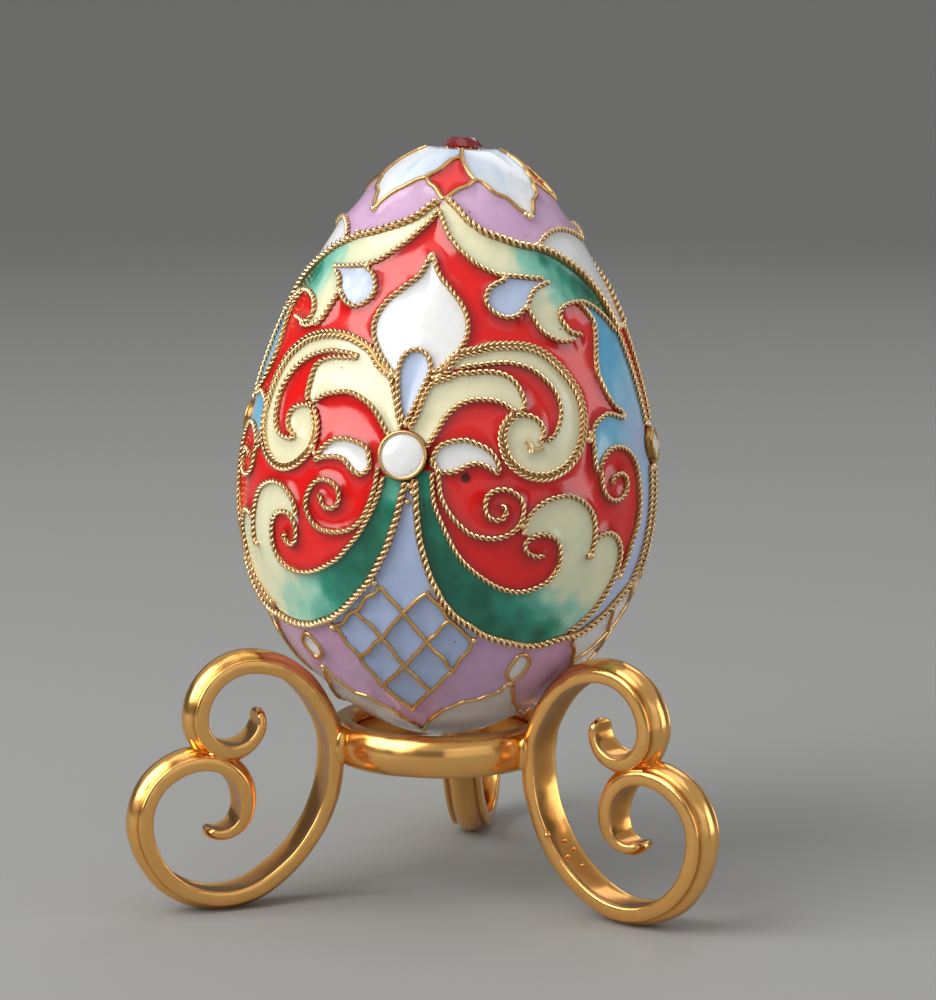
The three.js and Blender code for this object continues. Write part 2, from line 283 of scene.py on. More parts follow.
# %% Points of the wires, right side of the wide motif
WIRES = {}
WIRES["r top"] = "heavy", [(3, 25.25), (8, 24.55), (11, 24.05), (14.7, 23.3), (18, 22.85), (21.6, 22.35),
    (26.4, 21.97), (30.8, 21.7), (38, 21.2), (44.8, 20.95), (48.8, 20.8), (53.2, 20.5), (58, 20),
    (63.8, 19.2), (69, 18.3), (72.3, 17.5), (75.5, 16.5), (77.7, 15.6), (79.9, 14.2), (81.5, 12.8)]
WIRES["r low"] = "fine", [(-0.8, 24.1), (0.5, 23.8), (2.4, 23.2), (4.2, 22.5), (6, 21.8), (8, 21.35),
    (10.4, 20.7), (12.6, 20.3), (15.2, 19.8), (18, 19.3), (20.8, 18.95), (24, 18.6), (26.8, 18.35),
    (29.2, 18.3), (35.6, 18.2), (42, 18.05), (45.4, 18.05)]
WIRES["r drop"] = "fine", [(29, 17.85), (27, 17.7), (25, 17.45), (23, 17.1), (21.8, 16.6), (21.3, 16),
    (22, 15.4), (23.5, 14.95), (25.5, 14.6), (28, 14.4), (30.5, 14.45), (33, 14.7), (34.8, 15.15),
    (36.5, 15.45), (38.3, 16.2), (40.2, 16.85), (42.5, 17.2), (44.5, 17.45), (48, 17.65)]
WIRES["r hook"] = "fine", [(36.6, 15.3), (37.2, 14.85), (38.4, 14.2), (39.6, 13.5), (41.2, 13), (43.2, 12.65),
    (45.6, 12.3), (48, 12.15), (50, 12.15), (52.3, 12.25)]
WIRES["r curl"] = "fine", [(56.6, 12.7), (54.3, 12.8), (52.1, 13), (50.7, 13.5), (49.6, 14), (49.4, 14.6),
    (50.5, 15.1), (52.4, 15.4), (54.8, 15.6), (57.3, 15.7), (60, 15.75), (62.5, 15.7), (65.2, 15.5),
    (68.5, 15.1), (71.7, 14.5), (74.2, 14), (76.4, 13.4), (78.5, 12.7)]
WIRES["r neck"] = "fine", [(60.2, 15.6), (61.8, 15.3), (63.3, 14.8), (64.9, 14.2), (65.4, 13.6), (64.9, 12.9),
    (63.8, 12.1), (62.5, 11.3), (61.4, 10.5), (60.8, 9.8), (60.5, 8.8), (61.4, 7.9), (62.7, 6.9), (64.4, 6.1),
    (66.3, 5.5), (69, 5.15)]
WIRES["r blue"] = "fine", [(69, 4.5), (66.6, 4.7), (63.6, 5), (60.9, 5.05), (58.4, 4.75), (56.2, 4.4),
    (54.3, 3.7), (53.8, 3), (53.9, 2), (53.8, 1.1), (54.1, 0.2), (54.7, -0.3)]
WIRES["r eye"] = "fine", [(60.6, -1.6), (60.9, -1.1), (62.8, -0.85), (65, -0.8), (66.9, -1.2), (67.5, -1.9),
    (66.9, -2.6), (65.2, -3.1), (62.8, -3.35), (60, -3.2), (57.9, -2.7), (56.5, -1.9), (56.2, -0.9),
    (55.8, -0.1)]
WIRES["r swirl"] = "fine", [(55.7, 0), (56.8, 0.6), (58.4, 1.2), (60.9, 1.7), (63.7, 1.85), (66.4, 1.7),
    (69.1, 1.3), (71.3, 0.7), (73, -0.1), (74, -1), (74.6, -2), (75, -3), (75.3, -4.2), (75, -5.4),
    (74.3, -6.4), (73.2, -7.4), (72, -8.2), (71.2, -9.2), (70.2, -10.2), (69, -11.1)]
WIRES["r lobe"] = "fine", [(31.2, -5.7), (31.7, -5), (32.5, -4.4), (33.8, -3.8), (35.5, -3.3), (37.4, -2.9),
    (39.5, -2.6), (42.1, -2.45), (44.6, -2.4), (47.2, -2.7), (49.3, -3.1), (51, -3.6), (52.5, -4.25),
    (53.4, -4.95), (54, -5.75), (54.2, -6.6), (54.2, -7.4), (53.8, -8.2), (53.2, -8.65), (52, -8.6)]
WIRES["r rim"] = "fine", [(54.6, -7), (55.7, -6.7), (57.4, -6.55), (59.6, -6.5), (61, -6.55), (63.3, -7),
    (65.2, -7.7), (66.5, -8.6), (66.8, -9.6), (66.5, -10.6), (65.7, -11.6), (64.4, -12.6), (62.7, -13.6),
    (60.8, -14.5), (58.4, -15.3), (55.9, -16), (53.2, -16.5)]
WIRES["r vine"] = "fine", [(37.6, -8.2), (35.9, -8.3), (34.2, -8.1), (32.7, -7.8), (31.9, -7.2), (32.5, -6.7),
    (34, -6.35), (36.1, -6.1), (38, -6.15), (40, -6.4), (41.5, -6.8), (42.5, -7.5), (43, -8.4), (42.9, -9.2),
    (42.1, -9.95), (40.8, -10.6), (39.1, -11.1), (36.5, -11.5), (34, -11.75), (31, -11.8), (28, -11.6),
    (25.5, -11.3), (22.9, -10.8), (20.3, -10.2), (17.8, -9.5), (15.4, -8.7), (13.3, -7.75), (11.8, -6.8),
    (10.5, -5.9), (9.3, -4.95), (8.2, -4.1), (7.2, -3.2), (6.7, -2.15), (6.4, -1.2), (6.2, -0.3)]
WIRES["r spiral"] = "fine", [(6.4, 0.9), (7.4, 0.1), (8, -0.6), (8.3, -1.3), (8.7, -2.2), (9.7, -3.1),
    (11, -3.9), (12.7, -4.7), (14.8, -5.4), (16.9, -6), (19.5, -6.3), (22.5, -6.45), (25.5, -6.3),
    (27.8, -5.9), (29.7, -5.3), (30.7, -4.5), (31, -3.5), (30.2, -2.6), (28.4, -2), (26.3, -1.7),
    (24.2, -1.7), (22, -2), (20.8, -2.6), (20.6, -3.5), (21.4, -4.25), (23.3, -4.65), (25.2, -4.5),
    (26.2, -3.95), (25.9, -3.4), (24.9, -3.3)]
WIRES["r border"] = "heavy", [(1.9, -1.0), (2.2, -1.6), (2.4, -2.5), (2.6, -3.5), (3.1, -4.8), (3.5, -5.9),
    (4.1, -7.1), (5, -8.2), (5.8, -9.2), (6.7, -10.1), (7.8, -11.05), (9, -11.8), (10.5, -12.8),
    (12.2, -13.55), (14, -14.25), (16, -14.8), (19, -15.4), (22, -16.1), (25.5, -16.6), (28.4, -16.9),
    (31.9, -17.2), (35.7, -17.5), (39.5, -17.7), (43.4, -17.65), (47.2, -17.4), (50.6, -17.15), (54.8, -17.1),
    (59.2, -16.8), (63, -16.1), (66.8, -15.4), (69.5, -14.8), (72.3, -14.1), (75.5, -13.4), (78.8, -12.6)]
WIRES["r scroll"] = "double", [(5.5, 8.9), (8.4, 9.3), (9.8, 10.1), (11.6, 10.75), (14, 11.05), (16.4, 11.2),
    (18.8, 11.4), (21.2, 11.65), (24, 11.75), (26.8, 11.8), (30, 11.8), (33.2, 11.75), (36, 11.55),
    (38.8, 11.2), (41.2, 10.75), (43.6, 10.1), (45.6, 9.45), (47.6, 8.7), (49.4, 7.8), (50.4, 7), (51, 5.95),
    (51, 4.95), (50.4, 3.9), (49.6, 2.9), (48, 1.85), (46, 1), (43.6, 0.3), (40.8, -0.2), (38, -0.5),
    (35.2, -0.5), (32.4, -0.3), (30, 0.1), (27.8, 0.7), (26.2, 1.4), (25.4, 2.3), (25, 3.25), (25.6, 4.2),
    (27.1, 4.95), (28.6, 5.35)]
WIRES["r tail"] = "fine", [(28.8, 5.35), (31.6, 5.35), (34, 5.2), (36, 4.75), (37.2, 4.05), (36.9, 3.3),
    (35.8, 2.75)]
WIRES["r band"] = "fine", [(12.6, 9.6), (15, 9.8), (18.4, 9.95), (21.6, 10.1), (25.2, 10.2), (28, 10.2),
    (30.8, 10.05), (33.6, 9.8), (36.4, 9.35), (38.8, 8.75), (40.8, 8.1), (42.4, 7.3), (43.2, 6.5),
    (43.4, 5.6), (42.8, 4.75), (41.6, 3.9), (40, 3.2), (38, 2.95)]
WIRES["r leaf up"] = "fine", [(-0.6, 3.75), (0, 4.2), (1.2, 5.1), (2, 6.1), (3, 7.1), (4.4, 7.9), (6.4, 8.3),
    (8.6, 8.5), (10.4, 8.8), (12.4, 9.1), (15.2, 9.15), (18.4, 9.3), (21.6, 9.35), (24.4, 9.25), (26.8, 9),
    (28.8, 8.55), (30.4, 7.9), (31.4, 7.15), (31.9, 6.4), (31.2, 5.85), (29.6, 5.6)]
WIRES["r leaf low"] = "fine", [(4.3, 2.1), (5, 2.4), (6.4, 3.25), (7.6, 4.05), (8.8, 4.8), (10.4, 5.5),
    (12.4, 6.1), (14.4, 6.45), (16.8, 6.7), (19.6, 6.75), (22.4, 6.7), (24.8, 6.5), (26.8, 6.15),
    (28.6, 5.75)]
WIRES["r white"] = "fine", [(6.2, 0.7), (6.4, 1.25), (7, 1.85), (8.4, 2.35), (10.4, 2.65), (12.8, 2.85),
    (15.2, 2.9), (17.6, 2.65), (20, 2.3), (22, 1.8), (23.2, 1.2), (24, 0.5), (23.8, -0.1), (22.8, 0),
    (21.6, 0.3), (20, 0.6), (18, 0.75), (16, 0.6), (14.4, 0.3), (12.8, 0), (10.8, -0.2), (8.4, -0.15),
    (6.8, 0.25), (6.2, 0.7)]

# %% Left side of the wide motif
WIRES["l top"] = "heavy", [(-2.6, 24.95), (-3.9, 24.75), (-7.4, 24.15), (-10, 23.65), (-13.6, 23.15),
    (-17.1, 22.8), (-20.6, 22.5), (-24.6, 22.2), (-28.5, 21.9), (-32, 21.65), (-35.6, 21.45), (-39.1, 21.25),
    (-42.6, 20.95), (-45.7, 20.65), (-49.2, 20.3), (-52.7, 19.95), (-55.8, 19.5), (-58.9, 19), (-62.5, 18.4),
    (-66.5, 17.7), (-70.5, 17), (-74.5, 16), (-77.7, 14.9), (-80, 13.8), (-81.5, 12.8)]
WIRES["l low"] = "fine", [(-1.2, 24), (-2.6, 23.4), (-4.4, 22.9), (-6.6, 22.4), (-9.2, 21.8), (-11.8, 21.15),
    (-14.5, 20.6), (-17.1, 20.1), (-19.8, 19.6), (-22.4, 19.15), (-24.6, 18.9), (-27.2, 18.65), (-29.4, 18.5),
    (-35.2, 18.3), (-41.3, 18.15), (-45.7, 18.05)]
WIRES["l drop"] = "fine", [(-27.4, 18.3), (-24.6, 18), (-22.4, 17.6), (-20.9, 17), (-20, 16.4),
    (-20.4, 15.75), (-22, 15.2), (-24.2, 14.8), (-26.8, 14.6), (-29.4, 14.75), (-31.6, 15), (-33.4, 15.35),
    (-35.2, 15.65), (-36.5, 15.9), (-37.4, 16.3), (-38.7, 16.9), (-40.4, 17.3), (-42.8, 17.6)]
WIRES["l hook"] = "fine", [(-36.4, 15.7), (-36.7, 15), (-37.6, 14.4), (-38.5, 13.7), (-39.3, 13.1),
    (-40.6, 12.65), (-44.4, 12.3), (-47.5, 12.15), (-50, 12.2)]
WIRES["l curl"] = "fine", [(-56, 12.75), (-54.1, 12.7), (-51, 12.55), (-48.4, 12.5), (-46.6, 12.9),
    (-45.7, 13.5), (-46.6, 14.05), (-47.9, 14.45), (-49.7, 14.8), (-52.3, 15.1), (-55.4, 15.3),
    (-58.5, 15.35), (-62, 15.25), (-65.2, 15.1), (-68.5, 14.8), (-71.7, 14.3), (-74.2, 13.9), (-76.4, 13.4),
    (-78.5, 12.7)]
WIRES["l scroll"] = "double", [(-7.8, 8.6), (-10.5, 9.1), (-12.7, 9.6), (-14.5, 10.3), (-16.7, 10.85),
    (-19.3, 11.2), (-22, 11.5), (-24.6, 11.7), (-27.2, 11.8), (-30.3, 11.85), (-33, 11.8), (-35.6, 11.7),
    (-38.2, 11.5), (-40.9, 11.25), (-43.5, 10.9), (-45.7, 10.45), (-47.7, 9.95), (-49.5, 9.4), (-51, 8.8),
    (-52.1, 8.1), (-53, 7.35), (-53.6, 6.6), (-54.1, 5.75), (-54.5, 4.75), (-54.5, 3.8), (-54.2, 2.8),
    (-53.4, 1.85), (-52.1, 1.05), (-50.3, 0.25), (-48.4, -0.4), (-46.2, -0.9), (-44, -1.2), (-41.8, -1.4),
    (-39.1, -1.4), (-36.5, -1.15), (-34.1, -0.7), (-32.1, -0.1), (-30.3, 0.65), (-29.3, 1.45), (-29, 2.35),
    (-29.3, 3.2), (-30.4, 4), (-31.8, 4.6)]
WIRES["l tail"] = "fine", [(-32, 4.7), (-33.8, 4.85), (-36, 4.8), (-38.2, 4.6), (-40, 4.2), (-40.9, 3.65),
    (-40.9, 3), (-40, 2.4), (-38.4, 2.05)]
WIRES["l band"] = "fine", [(-19.8, 10.05), (-23, 10.2), (-27.7, 10.25), (-29.9, 10.25), (-32.5, 10.1),
    (-35.2, 9.85), (-37.8, 9.55), (-40, 9.15), (-42.2, 8.65), (-44.2, 8.05), (-45.7, 7.4), (-47, 6.6),
    (-47.9, 5.7), (-48.1, 4.75), (-47.7, 3.8), (-46.8, 2.9), (-45.5, 2.2), (-43.5, 1.7), (-40.9, 1.45),
    (-38.2, 1.45), (-36.4, 1.75)]
WIRES["l leaf up"] = "fine", [(-2.9, 3.75), (-3.2, 4.1), (-4.2, 4.9), (-4.9, 5.8), (-5.7, 6.6), (-6.6, 7.4),
    (-7.6, 8.1), (-8.9, 8.55), (-10.8, 8.95)]
WIRES["l leaf edge"] = "fine", [(-20, 9.85), (-23, 9.8), (-25.5, 9.7), (-28.1, 9.65), (-30.8, 9.45),
    (-33.4, 9.1), (-34.9, 8.65), (-35.4, 8), (-35.5, 7.2), (-35.4, 6.4), (-35.2, 5.75), (-34.2, 5.25)]
WIRES["l leaf low"] = "fine", [(-33.2, 5.1), (-31.6, 5.3), (-29.9, 5.75), (-27.7, 6.15), (-25.5, 6.35),
    (-22.8, 6.55), (-20.2, 6.6), (-17.6, 6.4), (-15.4, 6.1), (-13.2, 5.7), (-11.4, 5.2), (-9.9, 4.65),
    (-8.5, 4), (-7, 3.3), (-6.3, 2.95)]
WIRES["l white"] = "fine", [(-10.5, 0.1), (-11, 0.6), (-11.4, 1.2), (-12.7, 1.7), (-14.9, 2), (-17.6, 2.2),
    (-20.2, 2.2), (-22.8, 1.95), (-24.6, 1.5), (-25.9, 1), (-27, 0.4), (-27.5, -0.2), (-25.5, 0.15),
    (-22.8, 0.35), (-20.2, 0.4), (-18, 0.1), (-16.2, -0.5), (-14.5, -0.9), (-12.7, -0.95), (-11.2, -0.5),
    (-10.5, 0.1)]
WIRES["l lobe"] = "fine", [(-33.1, -5.9), (-33.3, -5.3), (-34, -4.7), (-35.1, -4.2), (-36.8, -3.7),
    (-38.6, -3.3), (-40.9, -3.1), (-43.6, -3.05), (-45.8, -3.25), (-48.1, -3.6), (-49.9, -4), (-51.5, -4.65),
    (-52.7, -5.4), (-53.5, -6.15), (-54.3, -7), (-54.8, -8), (-55, -8.9), (-54.6, -9.7), (-53, -10)]
WIRES["l rim"] = "fine", [(-54.8, -7.5), (-56.2, -7), (-58.4, -6.8), (-61, -6.8), (-63.3, -7.2),
    (-65.2, -7.9), (-66.5, -8.7), (-66.8, -9.6), (-66.5, -10.6), (-65.7, -11.6), (-64.4, -12.5),
    (-62.7, -13.3), (-60.8, -14), (-58.4, -14.8), (-55.9, -15.4), (-52.2, -16)]
WIRES["l vine"] = "fine", [(-36.8, -7.8), (-38.1, -8.05), (-37.4, -8.6), (-35.6, -8.9), (-33.8, -8.5),
    (-33.1, -7.65), (-33.5, -6.8), (-34.9, -6.15), (-36.8, -5.8), (-39.5, -5.85), (-41.3, -6.15),
    (-42.7, -6.75), (-43.5, -7.5), (-43.7, -8.5), (-43.3, -9.5), (-42.2, -10.3), (-40.4, -10.9),
    (-38.1, -11.3), (-35.4, -11.5), (-32.2, -11.5), (-29.1, -11.3), (-25.9, -10.9), (-23.2, -10.4),
    (-20.4, -9.8), (-18.2, -9.15), (-16.4, -8.4), (-14.6, -7.65), (-12.7, -6.75), (-11.2, -5.8), (-9.8, -4.8),
    (-8.6, -3.8), (-7.7, -2.8), (-7, -1.8), (-6.7, -1)]
WIRES["l spiral"] = "fine", [(-8, -0.2), (-8.5, -0.9), (-8.7, -1.9), (-9.5, -3.1), (-10.7, -4.4), (-12, -5.3),
    (-13.8, -6), (-15.9, -6.5), (-18.6, -6.8), (-21.4, -6.9), (-24.1, -6.8), (-26.6, -6.4), (-28.4, -5.65),
    (-29.5, -4.75), (-29.3, -3.75), (-28.2, -2.85), (-26.4, -2.15), (-24.1, -1.9), (-21.8, -2.05),
    (-20, -2.4), (-18.9, -3.2), (-19.1, -4), (-20.5, -4.5), (-22.3, -4.65), (-23.9, -4.35), (-24.6, -3.75),
    (-25.2, -3.4)]
WIRES["l border"] = "heavy", [(-0.75, -1.35), (-0.85, -1.8), (-1.3, -2.65), (-1.9, -3.8), (-2.5, -5),
    (-3.5, -6.15), (-4.6, -7.5), (-5.7, -8.5), (-6.9, -9.3), (-8, -10.15), (-9.1, -10.8), (-10.5, -11.65),
    (-12.3, -12.3), (-14.6, -13.15), (-16.8, -13.9), (-19.1, -14.65), (-21.8, -15.3), (-24.5, -15.9),
    (-27.7, -16.3), (-30.9, -16.7), (-34.1, -17.05), (-37.2, -17.2), (-40.4, -17.3), (-43.6, -17.25),
    (-46.8, -17.15), (-50.4, -16.95), (-54.8, -16.8), (-59.2, -16.6), (-63, -16), (-66.8, -15.4),
    (-69.5, -14.8), (-72.3, -14.1), (-75.5, -13.4), (-78.8, -12.6)]
# The outer side of the left half is turned over from the right one.
for name in ("neck", "blue", "eye", "swirl"):
    WIRES["l " + name] = WIRES["r " + name][0], [(-a, h) for a, h in WIRES["r " + name][1]]

# %% Middle of the motif, the narrow motifs, the rosette and the lower belt
WIRES["onion r"] = "fine", [(-0.2, 19.9), (1.2, 19.5), (2, 18.95), (3.2, 18.4), (5.2, 17.7), (7.2, 17.2),
    (9.2, 16.6), (11.2, 16), (12.8, 15.4), (14, 14.75), (14.7, 14.1), (14.9, 13.35), (14.5, 12.6),
    (13.6, 11.9), (12.4, 11.3), (11.2, 10.75), (8.8, 10.1), (6.8, 9.5), (4.6, 8.9)]
WIRES["onion l"] = "fine", [(-0.2, 19.9), (-1.3, 19.5), (-2, 18.9), (-3.3, 18.2), (-5.2, 17.6), (-7.6, 17.1),
    (-9.8, 16.55), (-12, 16), (-13.8, 15.5), (-15.3, 14.9), (-16.4, 14.2), (-16.9, 13.4), (-16.6, 12.6),
    (-15.7, 11.9), (-14.3, 11.2), (-12.7, 10.5), (-11, 9.9), (-9.2, 9.3), (-7.4, 8.8)]
WIRES["bud"] = "fine", [(-1.7, 4.2), (-0.3, 5.3), (1, 6.5), (2, 7.4), (3, 8.3), (3.9, 9.2), (3.6, 10),
    (2.4, 10.65), (0.8, 11), (-0.9, 11.1), (-2.8, 10.95), (-4.6, 10.5), (-5.6, 9.7), (-5.8, 8.8), (-5.4, 7.7),
    (-4.5, 6.2), (-3.4, 5.1), (-1.9, 4.1)]
for side, sign in (("r", 1), ("l", -1)):
    mirrored = lambda points: [(sign * a, h) for a, h in points]
    WIRES[side + " pillar"] = "double", mirrored([(81.5, 12.9), (82.6, 11.4), (83.8, 9.4), (84.8, 7.4),
            (85.5, 5.4), (86.2, 3.4)])
    WIRES[side + " root"] = "double", mirrored([(86.2, -0.8), (85.9, -3), (85.3, -6), (84.2, -8.6),
            (82.3, -10.8), (79.6, -12.5)])
    WIRES[side + " dome"] = "fine", mirrored([(48.5, 21), (50, 21.3), (53.2, 21.8), (57, 22.15), (61.4, 22.4),
            (65.7, 22.5), (70.1, 22.5), (75, 22.35), (80, 22.1), (85, 21.75), (90, 21.4)])
    WIRES[side + " belt"] = "plain", mirrored([(40.5, -22.3), (44.4, -23.8), (48, -24.6), (53.2, -25.4),
            (59, -26.1), (64.9, -26.5), (75, -27), (90, -27.5)])
    for number, points in enumerate([
            [(57, -17.6), (65.5, -20.4), (75, -23.3), (90, -26)], [(72, -14.6), (80, -17.8), (90, -20.5)],
            [(65.5, -20.4), (80, -17.8), (90, -15.1)], [(75, -23.3), (90, -20.5)],
            [(81, -12.5), (90, -15.1)]]):
        WIRES[f"{side} grille {number}"] = "plain", mirrored(points)
WIRES["petal r"] = "plain", [(20, 27.1), (22.4, 27.05), (28.2, 26.5), (33.4, 26), (37.8, 25.55), (42.9, 24.9),
    (46.6, 24.4), (50.3, 23.8), (54.7, 24.5), (58.3, 25.1), (62.7, 25.6), (68, 26.2), (74, 27.1)]
WIRES["petal l"] = "plain", [(-16, 27.1), (-21.6, 26.75), (-27.5, 26.3), (-31.9, 25.75), (-36.3, 25.1),
    (-39.3, 24.4), (-40.7, 23.7), (-44.4, 24.6), (-48.8, 25.2), (-54.7, 25.8), (-60.5, 26.3), (-65, 26.7),
    (-70, 27.1)]
for number, shift in enumerate((0, 90)):
    WIRES[f"diamond {number} a"] = "plain", [(-16 + shift, 27.1), (-7 + shift, 28.15), (1 + shift, 28.9),
        (8 + shift, 29.4), (9 + shift, 29.8)]
    WIRES[f"diamond {number} b"] = "plain", [(20 + shift, 27.1), (14 + shift, 28.15), (10.5 + shift, 28.9),
        (9 + shift, 29.4)]
    WIRES[f"diamond {number} c"] = "plain", [(-16 + shift, 27.1), (-8 + shift, 26.3), (0.5 + shift, 25.2)]
    WIRES[f"diamond {number} d"] = "plain", [(0.5 + shift, 25.2), (10 + shift, 26.2), (20 + shift, 27.1)]
for number, points in enumerate([
        [(-6.8, -11.85), (-0.5, -14.4), (6.5, -17.35), (15.3, -20.4)],
        [(-15, -14.75), (-7.75, -17.25), (-1.4, -20.25), (7.6, -23.05)],
        [(-26, -16.35), (-24.3, -16.7), (-22.4, -17.4), (-17.5, -19.95), (-11.5, -22.95), (-1.75, -25.5)],
        [(6.5, -12), (-0.5, -14.4), (-7.75, -17.25), (-17.5, -19.95)],
        [(13, -14.85), (6.5, -17.35), (-1.4, -20.25), (-11.5, -22.95)],
        [(20.9, -16.9), (20, -17.6), (15.3, -20.4), (7.6, -23.05), (-1.75, -25.5)]]):
    WIRES[f"lattice {number}"] = "plain", points
WIRES["lattice edge l"] = "plain", [(-6.8, -11.85), (-10.75, -13.15), (-15, -14.6), (-19.25, -15.8),
    (-24.9, -17.2)]
WIRES["lattice edge r"] = "plain", [(6, -11.9), (9.5, -13.35), (13.1, -14.85), (16.9, -16.0), (20.6, -17.2)]
WIRES["strip end a"] = "strip", [(31.7, 3.0), (32.6, 2.7), (33.1, 2.3), (33, 1.8)]
WIRES["strip end b"] = "strip", [(32.3, 2.45), (33.6, 2.2), (35, 2.1), (36.8, 2.3)]
WIRES["r sill"] = "plain", [(0.75, -28.65), (3.2, -27.8), (6.25, -26.95), (12.25, -25.6), (20.75, -24.45),
    (29, -23.8), (34.25, -23.25), (37.75, -22.3), (39.2, -21.9)]
WIRES["l sill"] = "plain", [(0.75, -28.65), (-4, -27.6), (-10, -26.5), (-18, -25.2), (-24.5, -24.6),
    (-31.25, -24.05), (-37.75, -22.55), (-39.3, -21.95)]
for name, a0, h0, wide, high in (("r", 38.9, -20.2, 3.6, 1.45), ("l", -38.5, -19.6, 4.3, 1.3)):
    ring = [(a0 + wide * math.cos(t), h0 + high * math.sin(t)) for t in np.radians(np.arange(0, 361, 24))]
    WIRES[name + " oval"] = "plain", ring
print(len(WIRES), "wires drawn with", sum(len(w[1]) for w in WIRES.values()), "points")

# %% [markdown]
# ## Smooth paths
#
# A bent wire has no corners, so a Catmull-Rom curve goes through the drawn points. It is measured out at
# even steps on the shell in real millimetres, because both the twist and the enamel need true lengths.

# %% Paths on the shell
STEP = 0.14


def smooth(points):
    """A Catmull-Rom curve through points, resampled at even steps on the shell."""
    p = np.array(points, float)
    closed = len(p) > 3 and np.allclose(p[0], p[-1])
    before, after = (p[-2], p[1]) if closed else (2 * p[0] - p[1], 2 * p[-1] - p[-2])
    q = np.vstack([before, p, after])
    t = np.linspace(0, 1, 24, endpoint=False)[:, None]
    parts = []
    for a, b, c, d in zip(q, q[1:], q[2:], q[3:]):
        parts.append(0.5 * (2 * b + (c - a) * t + (2 * a - 5 * b + 4 * c - d) * t ** 2
                + (3 * b - a - 3 * c + d) * t ** 3))
    dense = np.vstack(parts + [p[-1:]])
    along = np.concatenate([[0], np.cumsum(np.linalg.norm(np.diff(on_shell(*dense.T)[0], axis=0), axis=1))])
    even = np.linspace(0, along[-1], max(2, round(along[-1] / STEP) + 1))
    return np.stack([np.interp(even, along, dense[:, k]) for k in (0, 1)], 1)


PATHS = {name: smooth(points) for name, (kind, points) in WIRES.items()}
for number, (name, path) in enumerate(PATHS.items()):
    if WIRES[name][0] == "plain":
        # A plain wire is laid by hand and wavers by a tenth of a millimetre.
        along = np.arange(len(path)) * STEP
        ends = np.clip(np.minimum(along, along[-1] - along) / 0.8, 0, 1)
        path[:, 1] += 0.1 * ends * np.sin(along * 2 * math.pi / 2.7 + number)
        path[:, 0] += 0.28 * ends * np.cos(along * 2 * math.pi / 3.1 + 2 * number)
print("total wire on half the egg:", round(sum(len(p) for p in PATHS.values()) * STEP), "mm")


def cut(name, low=-999, high=999):
    """The part of a wire's path between two azimuths."""
    path = PATHS[name]
    return path[(path[:, 0] >= low) & (path[:, 0] <= high)]


def outline(*parts):
    """One outline from paths and single points, in order."""
    return np.vstack([np.atleast_2d(np.asarray(part, float)) for part in parts])


# %% [markdown]
# ## The fields of enamel
#
# A field is a closed outline made of stretches of wire. Fields are painted one over another, from the red
# ground up, so a small gap between two wires doesn't matter, as it would if colour were poured in from a
# seed point. Each field names its enamel. Shaded enamels also take a few marks (azimuth, height, shade)
# that set how far the second colour has run at that spot.

# %% Fields
FIELDS = []
MIDDLE = [(-1.75, 1.15)]  # under the large medallion


def field(enamel, border, marks=()):
    """Note one field: its enamel, its closed outline, and marks of (azimuth, height, shade)."""
    FIELDS.append((enamel, np.asarray(border), np.array(marks, float)))


for side, s in (("r", 1), ("l", -1)):
    w = lambda name, low=-999, high=999: cut(f"{side} {name}", *sorted((s * low, s * high)))
    field("lilac", outline(w("top")[::-1], [(0, 25), (0, 31), (s * 91, 31), (s * 91, 12.8)]))
    field("white", outline(w("dome"), [(s * 91, 21.4), (s * 91, 12.6)], w("top", 48.5)[::-1]))
    sky = [(66, 13, 0), (70, 10, 0), (75, 11, 0), (76, 8.5, 0.25), (72, 7, 0.45), (66, 8, 0.05), (64, 9.5, 0),
        (74, 4, 0.8), (59, 4, 0.1), (64, 3.4, 0.05), (68, 3.4, 0.4), (56, 2, 0.3), (72, 1, 0.75), (78, 2, 1),
        (78, -5, 1), (76, -10, 1), (65, -14, 1)]
    rim = w("rim")
    field("sky", outline(w("neck"), w("blue"), w("swirl"), rim[rim[:, 1] < -10.5], w("border", 56),
            w("root")[::-1], [(s * 88, 1.2)], w("pillar")[::-1], w("curl", 60)[::-1]),
        [(s * a, h, v) for a, h, v in sky])
    field("red", outline(w("pillar"), [(s * 91, 3.4), (s * 91, 12.8)]))
    field("lilac", outline(w("border")[::-1], [(0, -1.5), (0, -31), (s * 91, -31), (s * 91, -12.6)]))
    field("grille", outline(w("root"), [(s * 79, -12.6)], w("border", 57)[::-1],
            [(s * 57, -17.6), (s * 65.5, -20.4), (s * 75, -23.3), (s * 91, -26), (s * 91, -0.8)]))
    # Below the sill the white enamel is painted grey, as painted shade under the egg.
    field("belly", outline(w("sill"), w("belt"), [(s * 91, -27.5), (s * 91, -31), (0, -31)]))

upper_right = [(3, 24.3, 0), (12, 22.8, 0), (20, 21, 0), (30, 20, 0.02), (34, 19.6, 0.2), (38, 19.8, 0.45),
    (44, 19.6, 0.5), (47, 18.2, 0.48), (50, 20.1, 0.9), (52, 18.4, 0.55), (58, 18.8, 0.8), (57, 16.7, 0.62),
    (63, 17.4, 0.95), (70, 17, 1), (76, 15, 1), (46, 15, 0), (42, 14, 0), (49, 12.6, 0), (45.5, 17, 0.12),
    (50, 16.3, 0.35)]
field("shaded", outline(cut("r top", high=80), cut("r curl")[::-1], cut("r hook")[::-1],
        cut("r drop", 36.5, 48), cut("r low")[::-1], [(0, 25.4)]), upper_right)
upper_left = [(-5, 23.7, 0), (-20, 21, 0), (-34, 20, 0.02), (-41, 19.8, 0.12), (-46, 19.2, 0.35),
    (-52, 18.5, 0.45), (-49, 17, 0.33), (-56, 18.6, 0.5), (-56, 16.7, 0.6), (-60, 17.3, 0.85), (-66, 16.8, 1),
    (-74, 15.2, 1), (-42, 15, 0), (-41, 13.4, 0), (-44, 16.7, 0.1)]
